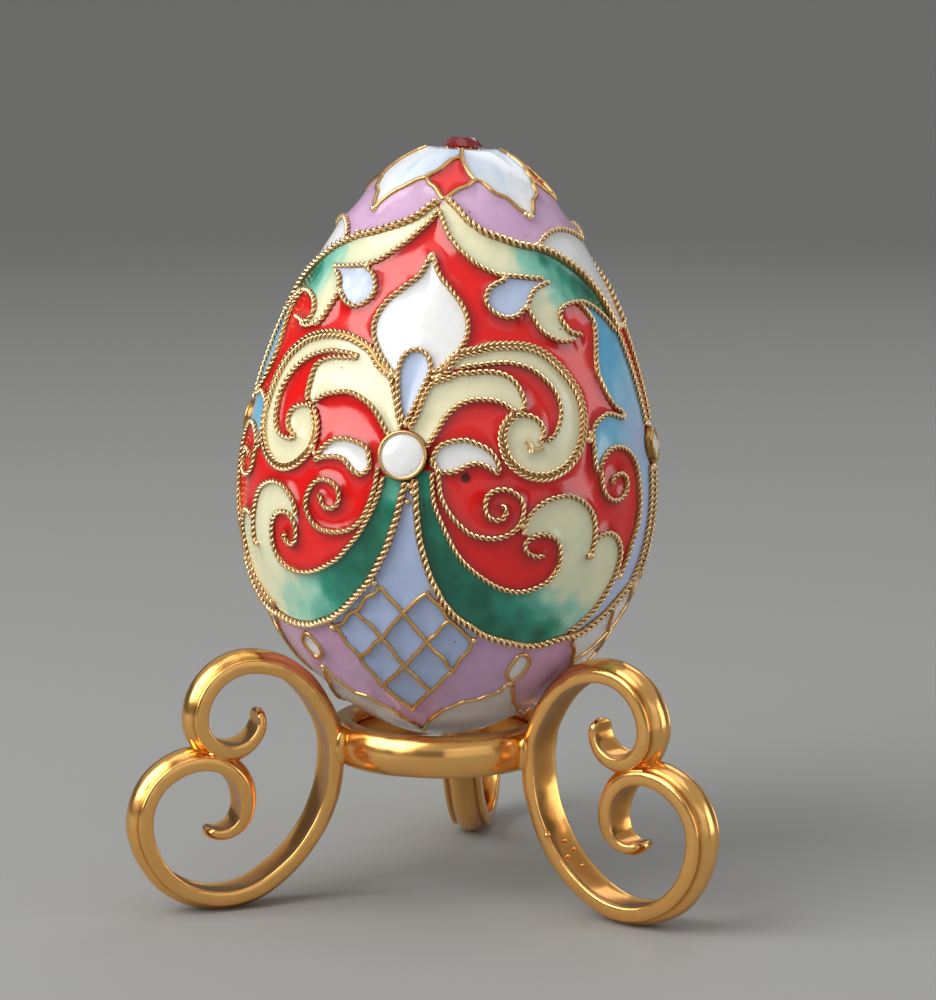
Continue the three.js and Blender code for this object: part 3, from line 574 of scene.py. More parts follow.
field("shaded", outline(cut("l top", low=-80), cut("l curl")[::-1], cut("l hook")[::-1],
        cut("l drop", -43, -36.5), cut("l low")[::-1]), upper_left)
field("pale blue", outline(PATHS["r drop"], cut("r low", 29, 47)[::-1]), [(30, 16, 0.75)])
field("pale blue", outline(PATHS["l drop"], cut("l low", -46, -27.4)[::-1]), [(-30, 16, 0.45)])
field("white", outline(PATHS["onion r"], [(-1, 8)], PATHS["onion l"][::-1]))
field("pale blue", outline(PATHS["bud"], MIDDLE), [(-1, 9, 0.75)])
field("cream", outline(PATHS["r scroll"], PATHS["r tail"], PATHS["r band"][::-1]))
field("cream", outline(PATHS["l scroll"], PATHS["l tail"], PATHS["l band"][::-1]))
field("cream", outline(PATHS["r leaf up"], PATHS["r leaf low"][::-1], MIDDLE))
field("cream", outline(PATHS["l leaf up"], cut("l scroll", -20, -10.8), PATHS["l leaf edge"],
        PATHS["l leaf low"], MIDDLE))
field("white", PATHS["r white"])
field("white", PATHS["l white"])
lower_right = [(5, -2, 0.75), (6, -4, 1), (8, -8, 1), (13, -11, 1), (20, -13.5, 1), (25, -15, 0.98),
    (22, -12, 0.95), (28, -12.9, 0.8), (33, -13, 0.68), (33, -14.6, 0.85), (38, -13.6, 0.65),
    (32, -16.2, 0.95), (42, -16.7, 0.97), (42, -14.6, 0.62), (42, -12.6, 0.3), (47, -12.6, 0.2),
    (50, -14.3, 0.5), (47, -15.7, 0.75), (55, -15, 0.35), (56, -12.5, 0.03), (50, -11.4, 0.12), (46, -9, 0),
    (60, -9, 0), (37, -4.6, 0), (33, -5.5, 0), (48, -4, 0), (62, -12.3, 0.02), (44, -11, 0.05)]
field("shaded", outline(PATHS["r lobe"][:-8], PATHS["r rim"], cut("r border", high=52)[::-1], MIDDLE,
        cut("r vine")[::-1][: -26]), lower_right)
lower_left = [(-3.2, -2.5, 0.6), (-4.5, -4.5, 0.93), (-8, -8, 1), (-12, -10.6, 0.97), (-16, -12, 0.93),
    (-20, -12.5, 0.85), (-24, -13, 0.75), (-27, -15.4, 0.62), (-29, -13, 0.4), (-33, -13.2, 0.36),
    (-38, -14, 0.38), (-36, -15.8, 0.45), (-43, -15.3, 0.35), (-38, -12.2, 0.2), (-45, -12.5, 0.03),
    (-50, -13.5, 0.03), (-50, -15, 0.12), (-60, -12, 0), (-48, -8, 0), (-42, -4.5, 0), (-50, -5, 0)]
field("shaded", outline(PATHS["l lobe"][:-12], PATHS["l rim"], cut("l border", low=-52)[::-1], MIDDLE,
        cut("l vine")[::-1][: -26]), lower_left)
field("lattice", outline(cut("r border", high=21.5), PATHS["lattice 5"], PATHS["lattice 2"][::-1],
        cut("l border", -26)[::-1], MIDDLE))
for side in ("r", "l"):
    field("white", PATHS[side + " oval"])
petal_marks = [(0, 29.6, 1), (0, 28.6, 0.95), (45, 28, 0.75), (50, 27, 0.45), (50, 26, 0.12), (50, 24.5, 0),
    (-41, 28, 0.75), (-41, 27, 0.45), (-41, 26, 0.12), (-41, 24.5, 0), (90, 28.6, 0.95), (25, 28, 0.75),
    (-20, 28, 0.75), (25, 27.2, 0.4), (-22, 27.2, 0.4), (-65, 27.4, 0.4), (70, 27.4, 0.4)]
field("petal", outline([(8, 31), (9, 29.4)], cut("diamond 0 b")[::-1], PATHS["petal r"],
        [(74, 27.1), (98, 29.4), (98, 31)]), petal_marks)
field("petal", outline([(8, 31), (8, 29.4)], cut("diamond 0 a")[::-1], PATHS["petal l"],
        [(-70, 27.1), (-82, 29.4), (-82, 31)]), petal_marks)
for shift in (0, 90):
    number = shift // 90
    field("red", outline(PATHS[f"diamond {number} a"][:-4], PATHS[f"diamond {number} b"][::-1],
            PATHS[f"diamond {number} d"][::-1], PATHS[f"diamond {number} c"][::-1]))
KINDS = ["red"] + sorted({kind for kind, _, _ in FIELDS} - {"red"})
print(len(FIELDS), "fields of", KINDS)


def inside(points, polygon):
    """Which points lie inside a polygon, by counting the edges to their right."""
    found = np.zeros(len(points), bool)
    low, high = polygon.min(0), polygon.max(0)
    near = np.nonzero(((points >= low) & (points <= high)).all(1))[0]
    x, y = points[near].T
    count = np.zeros(len(near), bool)
    for (xa, ya), (xb, yb) in zip(polygon, np.roll(polygon, -1, 0)):
        if ya != yb:
            count ^= ((ya > y) != (yb > y)) & (x < (xb - xa) * (y - ya) / (yb - ya) + xa)
    found[near] = count
    return found


def paint(azimuth, height):
    """For places on the shell: the number of the enamel kind, and the shade of its own field there."""
    points = np.stack([(azimuth + 90) % 180 - 90, height], 1)
    kind, shade = np.zeros(len(points), int), np.zeros(len(points))
    for enamel, border, marks in FIELDS:
        for shift in (0, 180, -180):
            moved = points + (shift, 0)
            hit = inside(moved, border)
            if not hit.any():
                continue
            kind[hit] = KINDS.index(enamel)
            if len(marks):
                place = moved[hit] * (0.33, 1)
                weight = 1 / (np.linalg.norm(place[:, None] - marks[None, :, :2] * (0.33, 1),
                        axis=2) ** 2.6 + 1e-3)
                shade[hit] = (weight * marks[:, 2]).sum(1) / weight.sum(1)
            else:
                shade[hit] = 0
    return kind, shade


# %% [markdown]
# ## Enamel glass
#
# Enamel is lead glass coloured with metal oxides. Fired, it pulls up along the wires and sinks in the
# middle of a cell, and its surface is glossy and a little uneven. Red, deep blue and green ones let light
# in a little, and white and cream ones are opaque. It is drawn as a coloured body with the gloss of lead
# glass, IOR 1.62, with soft mottling of a few millimetres and a scatter of tiny pits from gas bubbles.
# Next to the wires its colour is darkened as painted shade.

# %% Enamel materials
PIT_AZIMUTH, PIT_HEIGHT = 15.3, -0.6
BUBBLE = place_egg(on_shell([PIT_AZIMUTH], [PIT_HEIGHT], -0.4)[0])[0]


def enamel(name, colours, mottle, rough, pits=0.25, bubble=0.01, rim=0.2):
    """Fired glass: colours are the stops along the attribute shade, mottle is how much the tone wanders.

    A bubble radius, in mm, opens the one big burst bubble right of the front medallion.
    """
    material, tree = new_material(name)
    place = put(tree, "ShaderNodeTexCoord").outputs["Object"]
    shade = put(tree, "ShaderNodeAttribute", {"attribute_name": "shade"}).outputs["Fac"]
    drift = put(tree, "ShaderNodeTexNoise",
        values={"Scale": 1000 / 2.6, "Detail": 5.0, "Roughness": 0.62, "Distortion": 0.6},
        links={"Vector": place})
    wander = put(tree, "ShaderNodeMath", {"operation": "MULTIPLY_ADD"}, {1: mottle, 2: -mottle / 2},
        {0: drift.outputs["Fac"]})
    run = put(tree, "ShaderNodeMath", {"operation": "ADD"}, links={0: shade, 1: wander.outputs["Value"]})
    ramp = put(tree, "ShaderNodeValToRGB", links={"Fac": run.outputs["Value"]})
    stops = ramp.color_ramp.elements
    for number, (at, code) in enumerate(colours):
        stop = stops[number] if number < 2 else stops.new(at)
        stop.position, stop.color = at, srgb(code)
    tone = put(tree, "ShaderNodeTexNoise", values={"Scale": 1000 / 1.1, "Detail": 3.0},
        links={"Vector": place})
    value = put(tree, "ShaderNodeMapRange",
        values={"From Min": 0.25, "From Max": 0.75, "To Min": 0.955, "To Max": 1.04},
        links={"Value": tone.outputs["Fac"]})
    # Painted shade: the colour is darkened by rim where the attribute edge is high; edge is 1 at a wire, and
    # it also marks the dark spot on the front medallion.
    edge = put(tree, "ShaderNodeAttribute", {"attribute_name": "edge"}).outputs["Fac"]
    thick = put(tree, "ShaderNodeMath", {"operation": "MULTIPLY_ADD"}, {1: -rim, 2: 1.0}, {0: edge})
    level = put(tree, "ShaderNodeMath", {"operation": "MULTIPLY"},
        links={0: value.outputs["Result"], 1: thick.outputs["Value"]})
    body = put(tree, "ShaderNodeHueSaturation",
        links={"Color": ramp.outputs["Color"], "Value": level.outputs["Value"]})
    # Bubbles that broke at the surface: dark pin pricks, in a share (pits) of cells about 2 mm wide.
    cells = put(tree, "ShaderNodeTexVoronoi", values={"Scale": 1000 / 1.9, "Randomness": 1.0},
        links={"Vector": place})
    chosen = put(tree, "ShaderNodeSeparateColor", links={"Color": cells.outputs["Color"]})
    rare = put(tree, "ShaderNodeMath", {"operation": "LESS_THAN"}, {1: pits}, {0: chosen.outputs["Red"]})
    prick = put(tree, "ShaderNodeMapRange", {"interpolation_type": "SMOOTHSTEP"},
        {"From Min": 0.03, "From Max": 0.075, "To Min": 1.0, "To Max": 0.0},
        {"Value": cells.outputs["Distance"]})
    pit = put(tree, "ShaderNodeMath", {"operation": "MULTIPLY"},
        links={0: prick.outputs["Result"], 1: rare.outputs["Value"]})
    far = put(tree, "ShaderNodeVectorMath", {"operation": "DISTANCE"}, {1: BUBBLE * MM}, {0: place})
    burst = put(tree, "ShaderNodeMapRange", {"interpolation_type": "SMOOTHSTEP"},
        {"From Min": bubble * 0.8 * MM, "From Max": bubble * 1.2 * MM, "To Min": 1.0, "To Max": 0.0},
        {"Value": far.outputs["Value"]})
    worst = put(tree, "ShaderNodeMath", {"operation": "MAXIMUM"},
        links={0: pit.outputs["Value"], 1: burst.outputs["Result"]})
    faint = put(tree, "ShaderNodeMath", {"operation": "MULTIPLY"}, {1: 0.85}, {0: worst.outputs["Value"]})
    seen = put(tree, "ShaderNodeMix", {"data_type": "RGBA"}, {7: srgb("220A08")},
        {0: faint.outputs["Value"], 6: body.outputs["Color"]})
    dull = put(tree, "ShaderNodeMath", {"operation": "MULTIPLY_ADD"}, {1: 0.6, 2: rough},
        {0: worst.outputs["Value"]})
    # The fired surface waves by a few hundredths of a millimetre every 2 mm or so.
    waves = put(tree, "ShaderNodeTexNoise", values={"Scale": 1000 / 2.2, "Detail": 2.0, "Roughness": 0.45},
        links={"Vector": place})
    surface = put(tree, "ShaderNodeMath", {"operation": "MULTIPLY_ADD"}, {1: -0.25},
        {0: pit.outputs["Value"], 2: waves.outputs["Fac"]})
    bump = put(tree, "ShaderNodeBump", values={"Strength": 1.0, "Distance": 0.05 * MM},
        links={"Height": surface.outputs["Value"]})
    glass = put(tree, "ShaderNodeBsdfPrincipled", values={
        "IOR": 1.62}, links={"Base Color": seen.outputs[2], "Roughness": dull.outputs["Value"],
            "Normal": bump.outputs["Normal"]})
    put(tree, "ShaderNodeOutputMaterial", links={"Surface": glass.outputs["BSDF"]})
    return material


ENAMELS = {
    # Selenium red, a strong clear red, with a stronger painted shade next to the wires than the other
    # enamels.
    "red": enamel("selenium_red_enamel", [(0, "EC0E0A"), (1, "D00A08")], 0.9, 0.17, 0.2, 0.55, 0.6),
    # Tin-white glass with a breath of blue.
    "white": enamel("tin_white_enamel", [(0, "F1F2F4"), (1, "E6EAF1")], 0.8, 0.18, 0.06),
    # Warm ivory glass.
    "cream": enamel("ivory_enamel", [(0, "EFEBC6"), (1, "E4DFB4")], 0.8, 0.19, 0.1),
    # Ivory glass shaded through turquoise to chrome green by laying the powders side by side.
    "shaded": enamel("ivory_to_chrome_green_enamel",
        [(0.0, "EFEBC6"), (0.98, "00634C"), (0.16, "E0E6C2"), (0.42, "90D4C0"), (0.7, "28987F")], 0.34, 0.19,
        0.12),
    "lilac": enamel("manganese_lilac_enamel", [(0, "D0A8CE"), (1, "B98EB6")], 0.9, 0.2, 0.3),
    "pale blue": enamel("pale_blue_enamel", [(0, "DCE6F8"), (1, "B3C6EC")], 0.3, 0.18, 0.08),
    "lattice": enamel("periwinkle_enamel", [(0, "AEBFE6"), (1, "9FB2DE")], 0.9, 0.19, 0.25),
    "sky": enamel("sky_to_periwinkle_enamel", [(0, "6ABCE6"), (1, "B8C8EE"), (0.35, "98CEEC")], 0.3, 0.19,
        0.1),
    "petal": enamel("white_to_pale_blue_enamel", [(0, "F6F7F6"), (1, "BCCDEC"), (0.5, "DDE6F2")], 0.24, 0.18,
        0.08),
    "grille": enamel("cool_white_enamel", [(0, "E9ECF0"), (1, "D6DCE6")], 0.8, 0.19, 0.1),
    # White enamel painted pearl grey, as painted shade on the underside of the egg.
    "belly": enamel("white_enamel_with_painted_shade", [(0, "D9DBDF"), (1, "C7CBD3")], 0.9, 0.19, 0.1),
}
print(len(ENAMELS), "enamels")

# %% [markdown]
# ## The enamelled shell
#
# The shell is a net of rows and columns about 0.3 to 0.4 mm apart. Where a net point comes close to a
# wire it is moved onto the wire's line, so each colour ends exactly under its wire. Then every point is
# lifted or lowered by its distance to the nearest wire, which gives the sunk, glossy cells.

# %% Places of the wires
samples = np.vstack([path + (shift, 0) for path in PATHS.values() for shift in (0, 180)])
spots = on_shell(*samples.T)[0]
tree_of_wires = KDTree(len(spots))
for i, spot in enumerate(spots):
    tree_of_wires.insert(spot, i)
tree_of_wires.balance()
print(len(spots), "places along the wires")

# %% Net of the shell
COLUMNS, ROWS = 440, 208


def net_heights():
    """Heights of the rows, evenly spaced along the shell from the seat to near the lower tip."""
    t = np.linspace(math.acos(FLAT_HEIGHT / EGG_HALF), math.pi - 0.006, 4000)
    h = EGG_HALF * np.cos(t)
    r = egg_radius(h)
    along = np.concatenate([[0], np.cumsum(np.hypot(np.diff(h), np.diff(r)))])
    return np.interp(np.linspace(0, along[-1], ROWS), along, h)


heights = net_heights()
azimuths = np.arange(COLUMNS) * 360 / COLUMNS - 180
grid_a, grid_h = [g.ravel() for g in np.meshgrid(azimuths, heights)]
points = on_shell(grid_a, grid_h)[0]
distance, nearest = np.zeros(len(points)), np.zeros(len(points), int)
for i, point in enumerate(points):
    _, nearest[i], distance[i] = tree_of_wires.find(point)
close = (distance < 0.15) & (np.abs(grid_h) < 29.2)
grid_a[close] = samples[nearest[close], 0]
grid_h[close] = samples[nearest[close], 1]
kind_here, shade_here = paint(grid_a, grid_h)
sag = np.array([{"red": 0.38, "white": 0.22, "petal": 0.25, "pale blue": 0.25, "cream": 0.26,
            "lattice": 0.34}.get(k, 0.28) for k in KINDS])[kind_here]
lift = 0.14 - sag * (1 - np.exp(-(distance / 0.75) ** 1.3))
lift += 0.02 * np.sin(grid_a * 0.21 + 2 * np.sin(grid_h * 0.5)) * np.cos(grid_h * 0.83 + 1.7)
pit = np.clip(1 - np.hypot((grid_a - PIT_AZIMUTH) * 0.36, grid_h - PIT_HEIGHT) / 0.55, 0, 1)
lift -= 0.35 * pit
points = on_shell(grid_a, grid_h, lift)[0]
print("points moved onto a wire:", int(close.sum()), "of", len(points))

# %% Faces, colours and shades of the shell
index = np.arange(ROWS * COLUMNS).reshape(ROWS, COLUMNS)
a, b = index[:-1], index[1:]
quads = np.stack([a, b, np.roll(b, -1, 1), np.roll(a, -1, 1)], 2).reshape(-1, 4)
seat_rings = [(2.7, FLAT_HEIGHT), (2.3, FLAT_HEIGHT), (1.92, FLAT_HEIGHT), (1.9, FLAT_HEIGHT - 0.05),
    (1.9, FLAT_HEIGHT - 0.6)]
angle = np.radians(azimuths)
extra = [np.stack([r * np.sin(angle), -r * np.cos(angle), np.full(COLUMNS, h + EGG_MIDDLE_Z)], 1)
    for r, h in seat_rings]
first_lift = points[:COLUMNS, 2].mean() - (FLAT_HEIGHT + EGG_MIDDLE_Z)
for number in range(3):
    extra[number][:, 2] += first_lift
all_points = np.vstack([points, *extra,
        [(0, 0, FLAT_HEIGHT - 0.6 + EGG_MIDDLE_Z), (0, 0, EGG_MIDDLE_Z - EGG_HALF)]])
start = ROWS * COLUMNS
rings = [index[0]] + [np.arange(start + k * COLUMNS, start + (k + 1) * COLUMNS)
    for k in range(len(seat_rings))]
seat = [np.stack([below, np.roll(below, -1), np.roll(above, -1), above], 1)
    for below, above in zip(rings, rings[1:])]
middle, tip = len(all_points) - 2, len(all_points) - 1
faces = quads.tolist() + np.vstack(seat).tolist()
faces += [[int(p), int(q), middle] for p, q in zip(rings[-1], np.roll(rings[-1], -1))]
faces += [[int(q), int(p), tip] for p, q in zip(index[-1], np.roll(index[-1], -1))]
centre_a = grid_a[quads]
centre_a = centre_a[:, :1] + ((centre_a - centre_a[:, :1] + 180) % 360 - 180)
face_kind, face_shade = paint(centre_a.mean(1), grid_h[quads].mean(1))
shell = make_mesh("enamelled_shell", place_egg(all_points), faces, [ENAMELS[kind] for kind in KINDS])
seat_count = len(faces) - len(quads)
petal = KINDS.index("petal")
material_of = np.concatenate([face_kind, np.full(seat_count, petal)])
# The faces round the lower tip take the same white enamel painted grey as painted shade.
material_of[-COLUMNS:] = KINDS.index("belly")
shell.data.polygons.foreach_set("material_index", material_of.astype(np.int32))
corner_shade = shell.data.attributes.new("shade", "FLOAT", "CORNER")
same = kind_here[quads] == face_kind[:, None]
corner_values = np.where(same, shade_here[quads], face_shade[:, None]).ravel()
corner_shade.data.foreach_set("value", np.concatenate([
    corner_values, np.full(len(shell.data.loops) - 4 * len(quads), 0.3)]).astype(np.float32))
# Painted shade: edge is 1 at a wire and fades over about 0.7 mm, and the enamel colour is darkened by it.
wire_shade_layer = shell.data.attributes.new("edge", "FLOAT", "POINT")
edge = np.exp(-((distance / 0.7) ** 1.5))
wire_shade_layer.data.foreach_set("value",
    np.concatenate([edge, np.zeros(len(all_points) - len(edge))]).astype(np.float32))
print("shell triangles:", sum(len(f) - 2 for f in faces))
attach(shell, "root")
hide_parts("egg_body")

# %% [markdown]
# ## Twisted and plain wires
#
# A filigree wire is two thin wires twisted together, so from the side it reads as a row of slanting grains.
# Geometry Nodes turn each path into one: the path is resampled finely, its tilt grows by a full turn per
# pitch, and a profile of two touching circles is swept along it. The attribute crest is written on the
# profile and travels to the mesh, so the groove between the strands can be dark, partly as tarnish and
# partly as painted shade. Plain wires use one circle. The paths are long, so the front and the back of
# the egg are separate pieces.

# %% Geometry Nodes tree for a wire
def wire_tree(name, strands):
    """A node tree that makes a round or a two-strand twisted wire along each edge path of a mesh."""
    tree = bpy.data.node_groups.new(name, "GeometryNodeTree")
    tree.interface.new_socket(name="Path", in_out="INPUT", socket_type="NodeSocketGeometry")
    for label, kind in (("Strand radius", "NodeSocketFloat"), ("Pitch", "NodeSocketFloat"),
            ("Hand", "NodeSocketFloat"), ("Step", "NodeSocketFloat"), ("Shine", "NodeSocketFloat"),
            ("Finish", "NodeSocketMaterial")):
        tree.interface.new_socket(name=label, in_out="INPUT", socket_type=kind)
    tree.interface.new_socket(name="Wire", in_out="OUTPUT", socket_type="NodeSocketGeometry")
    given = put(tree, "NodeGroupInput").outputs
    curve = put(tree, "GeometryNodeMeshToCurve", links={"Mesh": given["Path"]})
    even = put(tree, "GeometryNodeResampleCurve", {"mode": "LENGTH"},
        links={"Curve": curve.outputs["Curve"], "Length": given["Step"]})
    along = put(tree, "GeometryNodeSplineParameter").outputs["Length"]
    turns = put(tree, "ShaderNodeMath", {"operation": "DIVIDE"}, links={0: along, 1: given["Pitch"]})
    signed = put(tree, "ShaderNodeMath", {"operation": "MULTIPLY"},
        links={0: turns.outputs[0], 1: given["Hand"]})
    angle = put(tree, "ShaderNodeMath", {"operation": "MULTIPLY"}, {1: 2 * math.pi}, {0: signed.outputs[0]})
    twisted = put(tree, "GeometryNodeSetCurveTilt",
        links={"Curve": even.outputs["Curve"], "Tilt": angle.outputs[0]})
    circle = put(tree, "GeometryNodeCurvePrimitiveCircle", values={"Resolution": 7 if strands == 2 else 8},
        links={"Radius": given["Strand radius"]})
    profile = circle.outputs["Curve"]
    if strands == 2:
        joined = put(tree, "GeometryNodeJoinGeometry")
        for sign in (1, -1):
            aside = put(tree, "ShaderNodeMath", {"operation": "MULTIPLY"}, {1: sign * 0.94},
                {0: given["Strand radius"]})
            shift = put(tree, "ShaderNodeCombineXYZ", links={"X": aside.outputs[0]})
            moved = put(tree, "GeometryNodeTransform",
                links={"Geometry": profile, "Translation": shift.outputs[0]})
            tree.links.new(moved.outputs[0], joined.inputs[0])
        profile = joined.outputs[0]
    parts = put(tree, "ShaderNodeSeparateXYZ",
        links={"Vector": put(tree, "GeometryNodeInputPosition").outputs[0]})
    side = put(tree, "ShaderNodeMath", {"operation": "ABSOLUTE"}, links={0: parts.outputs["X"]})
    share = put(tree, "ShaderNodeMath", {"operation": "DIVIDE"},
        links={0: side.outputs[0], 1: given["Strand radius"]})
    # crest is 0 in the groove between the strands, where the gilding is darkened partly as tarnish and partly
    # as painted shade.
    crest = put(tree, "ShaderNodeMapRange",
        values={"From Min": 0.0, "From Max": 1.1, "To Min": 0.0, "To Max": 1.0},
        links={"Value": share.outputs[0]})
    if strands == 1:
        crest = put(tree, "ShaderNodeMath", {"operation": "MULTIPLY_ADD"}, {1: 0.0},
            {0: share.outputs[0], 2: given["Shine"]})
    marked = put(tree, "GeometryNodeStoreNamedAttribute", {"data_type": "FLOAT", "domain": "POINT"},
        {"Name": "crest"}, {"Geometry": profile, "Value": crest.outputs[0]})
    swept = put(tree, "GeometryNodeCurveToMesh", values={"Fill Caps": True},
        links={"Curve": twisted.outputs["Curve"], "Profile Curve": marked.outputs["Geometry"]})
    soft = put(tree, "GeometryNodeSetShadeSmooth", links={"Geometry": swept.outputs["Mesh"]})
    real = put(tree, "GeometryNodeRealizeInstances", links={"Geometry": soft.outputs["Geometry"]})
    painted = put(tree, "GeometryNodeSetMaterial",
        links={"Geometry": real.outputs["Geometry"], "Material": given["Finish"]})
    put(tree, "NodeGroupOutput", links={"Wire": painted.outputs["Geometry"]})
    return tree


def grow(obj, tree, **inputs):
    """Run a node tree on an object, keep the result as its plain mesh, and return the object."""
    modifier = obj.modifiers.new("grow", "NODES")
    modifier.node_group = tree
    for item in tree.interface.items_tree:
        if item.item_type == "SOCKET" and item.in_out == "INPUT" and item.name in inputs:
            modifier[item.identifier] = inputs[item.name]
    result = bpy.data.meshes.new_from_object(obj.evaluated_get(bpy.context.evaluated_depsgraph_get()))
    obj.modifiers.clear()
    obj.data = result
    return obj


twisted_tree, round_tree = wire_tree("two_strand_wire", 2), wire_tree("round_wire", 1)

# %% Lay the wires on the shell
def beside(path, gap):
    """A path moved sideways on the shell by gap mm."""
    spot = on_shell(*path.T)[0]
    ahead = np.gradient(spot, axis=0)
    normal = on_shell(*path.T)[1]
    across = np.cross(ahead, normal)
    across /= np.linalg.norm(across, axis=1)[:, None] + 1e-9
    moved = spot + gap * across
    height = moved[:, 2] - EGG_MIDDLE_Z
    return np.stack([np.degrees(np.arctan2(moved[:, 0], -moved[:, 1])), height], 1)


def lay(name, paths, lift, tree, radius, pitch, hand, step, finish, shine=0.72):
    """One mesh object with all these paths as wires, sizes in mm."""
    vertices, edges = [], []
    for path in paths:
        first = sum(map(len, vertices))
        vertices.append(on_shell(path[:, 0], path[:, 1], lift)[0])
        edges += [(first + i, first + i + 1) for i in range(len(path) - 1)]
    data = bpy.data.meshes.new(name)
    data.from_pydata((place_egg(np.vstack(vertices)) * MM).tolist(), edges, [])
    obj = bpy.data.objects.new(name, data)
    bpy.context.scene.collection.objects.link(obj)
    return grow(obj, tree, **{"Strand radius": radius * MM, "Pitch": pitch * MM, "Hand": float(hand),
            "Step": step * MM, "Shine": shine, "Finish": finish})


def join(name, objects):
    """Objects joined into the first one, which gets the name."""
    with bpy.context.temp_override(active_object=objects[0], selected_editable_objects=objects,
            selected_objects=objects):
        bpy.ops.object.join()
    objects[0].name = objects[0].data.name = name
    return objects[0]


def triangles(obj):
    """How many triangles a mesh object has."""
    return sum(len(p.vertices) - 2 for p in obj.data.polygons)


# Each call gives the lift, the tree, the strand radius, the pitch, the hand of the twist and the step.
egg_wires = []
for half, shift in (("front", 0), ("back", 180)):
    moved = {name: path + (shift, 0) for name, path in PATHS.items()}
    of_kind = lambda kind: [moved[name] for name in WIRES if WIRES[name][0] == kind]
    bed = lambda kind, radius: lay("bed", of_kind(kind), 0.06, round_tree, radius, 1.0, 0, 0.3,
        gilt_plain_wire, 0.35)
    fine = lay("fine", of_kind("fine"), 0.25, twisted_tree, 0.158, 1.25, 1, 0.17, gilt_wire)
    strips = lay("strips", of_kind("strip"), 0.15, round_tree, 0.27, 1.0, 0, 0.25, gilt_wire, 1.0)
    fine = join(f"fine_twisted_wires_{half}", [fine, bed("fine", 0.25), strips])
    plain = lay(f"plain_wires_{half}", of_kind("plain"), 0.14, round_tree, 0.235, 1.0, 0, 0.25,
        gilt_plain_wire)
    heavy = lay("heavy", of_kind("heavy"), 0.32, twisted_tree, 0.215, 1.4, 1, 0.19, gilt_wire)
    pairs = [lay("pair", [beside(path, sign * 0.27) for path in of_kind("double")], 0.25, twisted_tree, 0.138,
            1.2, sign, 0.17, gilt_wire) for sign in (1, -1)]
    border = join(f"heavy_twisted_wires_{half}", [heavy, *pairs, bed("heavy", 0.36), bed("double", 0.36)])
    egg_wires += [fine, plain, border]
for obj in egg_wires:
    print(obj.name, triangles(obj), "triangles")
    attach(obj, "root")
    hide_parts("egg_body")

# %% [markdown]
# ## Grains and solder
#
# Where wires meet, the maker fuses a grain or lets solder pool. Each is a small, slightly uneven ball
# sunk in the enamel. They are one shape repeated, so Geometry Nodes place them on points that carry
# their own size.

# %% Grains
def grain_tree():
    """A node tree that puts an uneven ball on each point, as large as the point's size attribute."""
    tree = bpy.data.node_groups.new("grains", "GeometryNodeTree")
    tree.interface.new_socket(name="Points", in_out="INPUT", socket_type="NodeSocketGeometry")
    for label, kind in (("Unevenness", "NodeSocketFloat"), ("Seed", "NodeSocketInt"),
            ("Finish", "NodeSocketMaterial")):
        tree.interface.new_socket(name=label, in_out="INPUT", socket_type=kind)
    tree.interface.new_socket(name="Grains", in_out="OUTPUT", socket_type="NodeSocketGeometry")
    given = put(tree, "NodeGroupInput").outputs
    ball = put(tree, "GeometryNodeMeshIcoSphere", values={"Radius": 1.0, "Subdivisions": 3})
    size = put(tree, "GeometryNodeInputNamedAttribute", {"data_type": "FLOAT"}, {"Name": "size"})
    low = put(tree, "ShaderNodeMath", {"operation": "SUBTRACT"}, {0: 1.0}, {1: given["Unevenness"]})
    high = put(tree, "ShaderNodeMath", {"operation": "ADD"}, {0: 1.0}, {1: given["Unevenness"]})
    least = put(tree, "ShaderNodeCombineXYZ",
        links={"X": low.outputs[0], "Y": low.outputs[0], "Z": low.outputs[0]})
    most = put(tree, "ShaderNodeCombineXYZ",
        links={"X": high.outputs[0], "Y": high.outputs[0], "Z": high.outputs[0]})
    chance = put(tree, "FunctionNodeRandomValue", {"data_type": "FLOAT_VECTOR"},
        links={"Min": least.outputs[0], "Max": most.outputs[0], "Seed": given["Seed"]})
    scale = put(tree, "ShaderNodeVectorMath", {"operation": "SCALE"},
        links={0: chance.outputs[0], "Scale": size.outputs[0]})
    placed = put(tree, "GeometryNodeInstanceOnPoints",
        links={"Points": given["Points"], "Instance": ball.outputs["Mesh"], "Scale": scale.outputs[0]})
    real = put(tree, "GeometryNodeRealizeInstances", links={"Geometry": placed.outputs[0]})
    bright = put(tree, "GeometryNodeStoreNamedAttribute", {"data_type": "FLOAT", "domain": "POINT"},
        {"Name": "crest", "Value": 0.8}, {"Geometry": real.outputs[0]})
    soft = put(tree, "GeometryNodeSetShadeSmooth", links={"Geometry": bright.outputs[0]})
    painted = put(tree, "GeometryNodeSetMaterial",
        links={"Geometry": soft.outputs[0], "Material": given["Finish"]})
    put(tree, "NodeGroupOutput", links={"Grains": painted.outputs[0]})
    return tree


def grains(name, spots, sizes, seed, finish):
    """Small balls at spots, in mm, with these radii in mm."""
    obj = make_mesh(name, spots, [])
    size = obj.data.attributes.new("size", "FLOAT", "POINT")
    size.data.foreach_set("value", (np.array(sizes) * MM).astype(np.float32))
    return grow(obj, GRAINS, Unevenness=0.14, Seed=seed, Finish=finish)


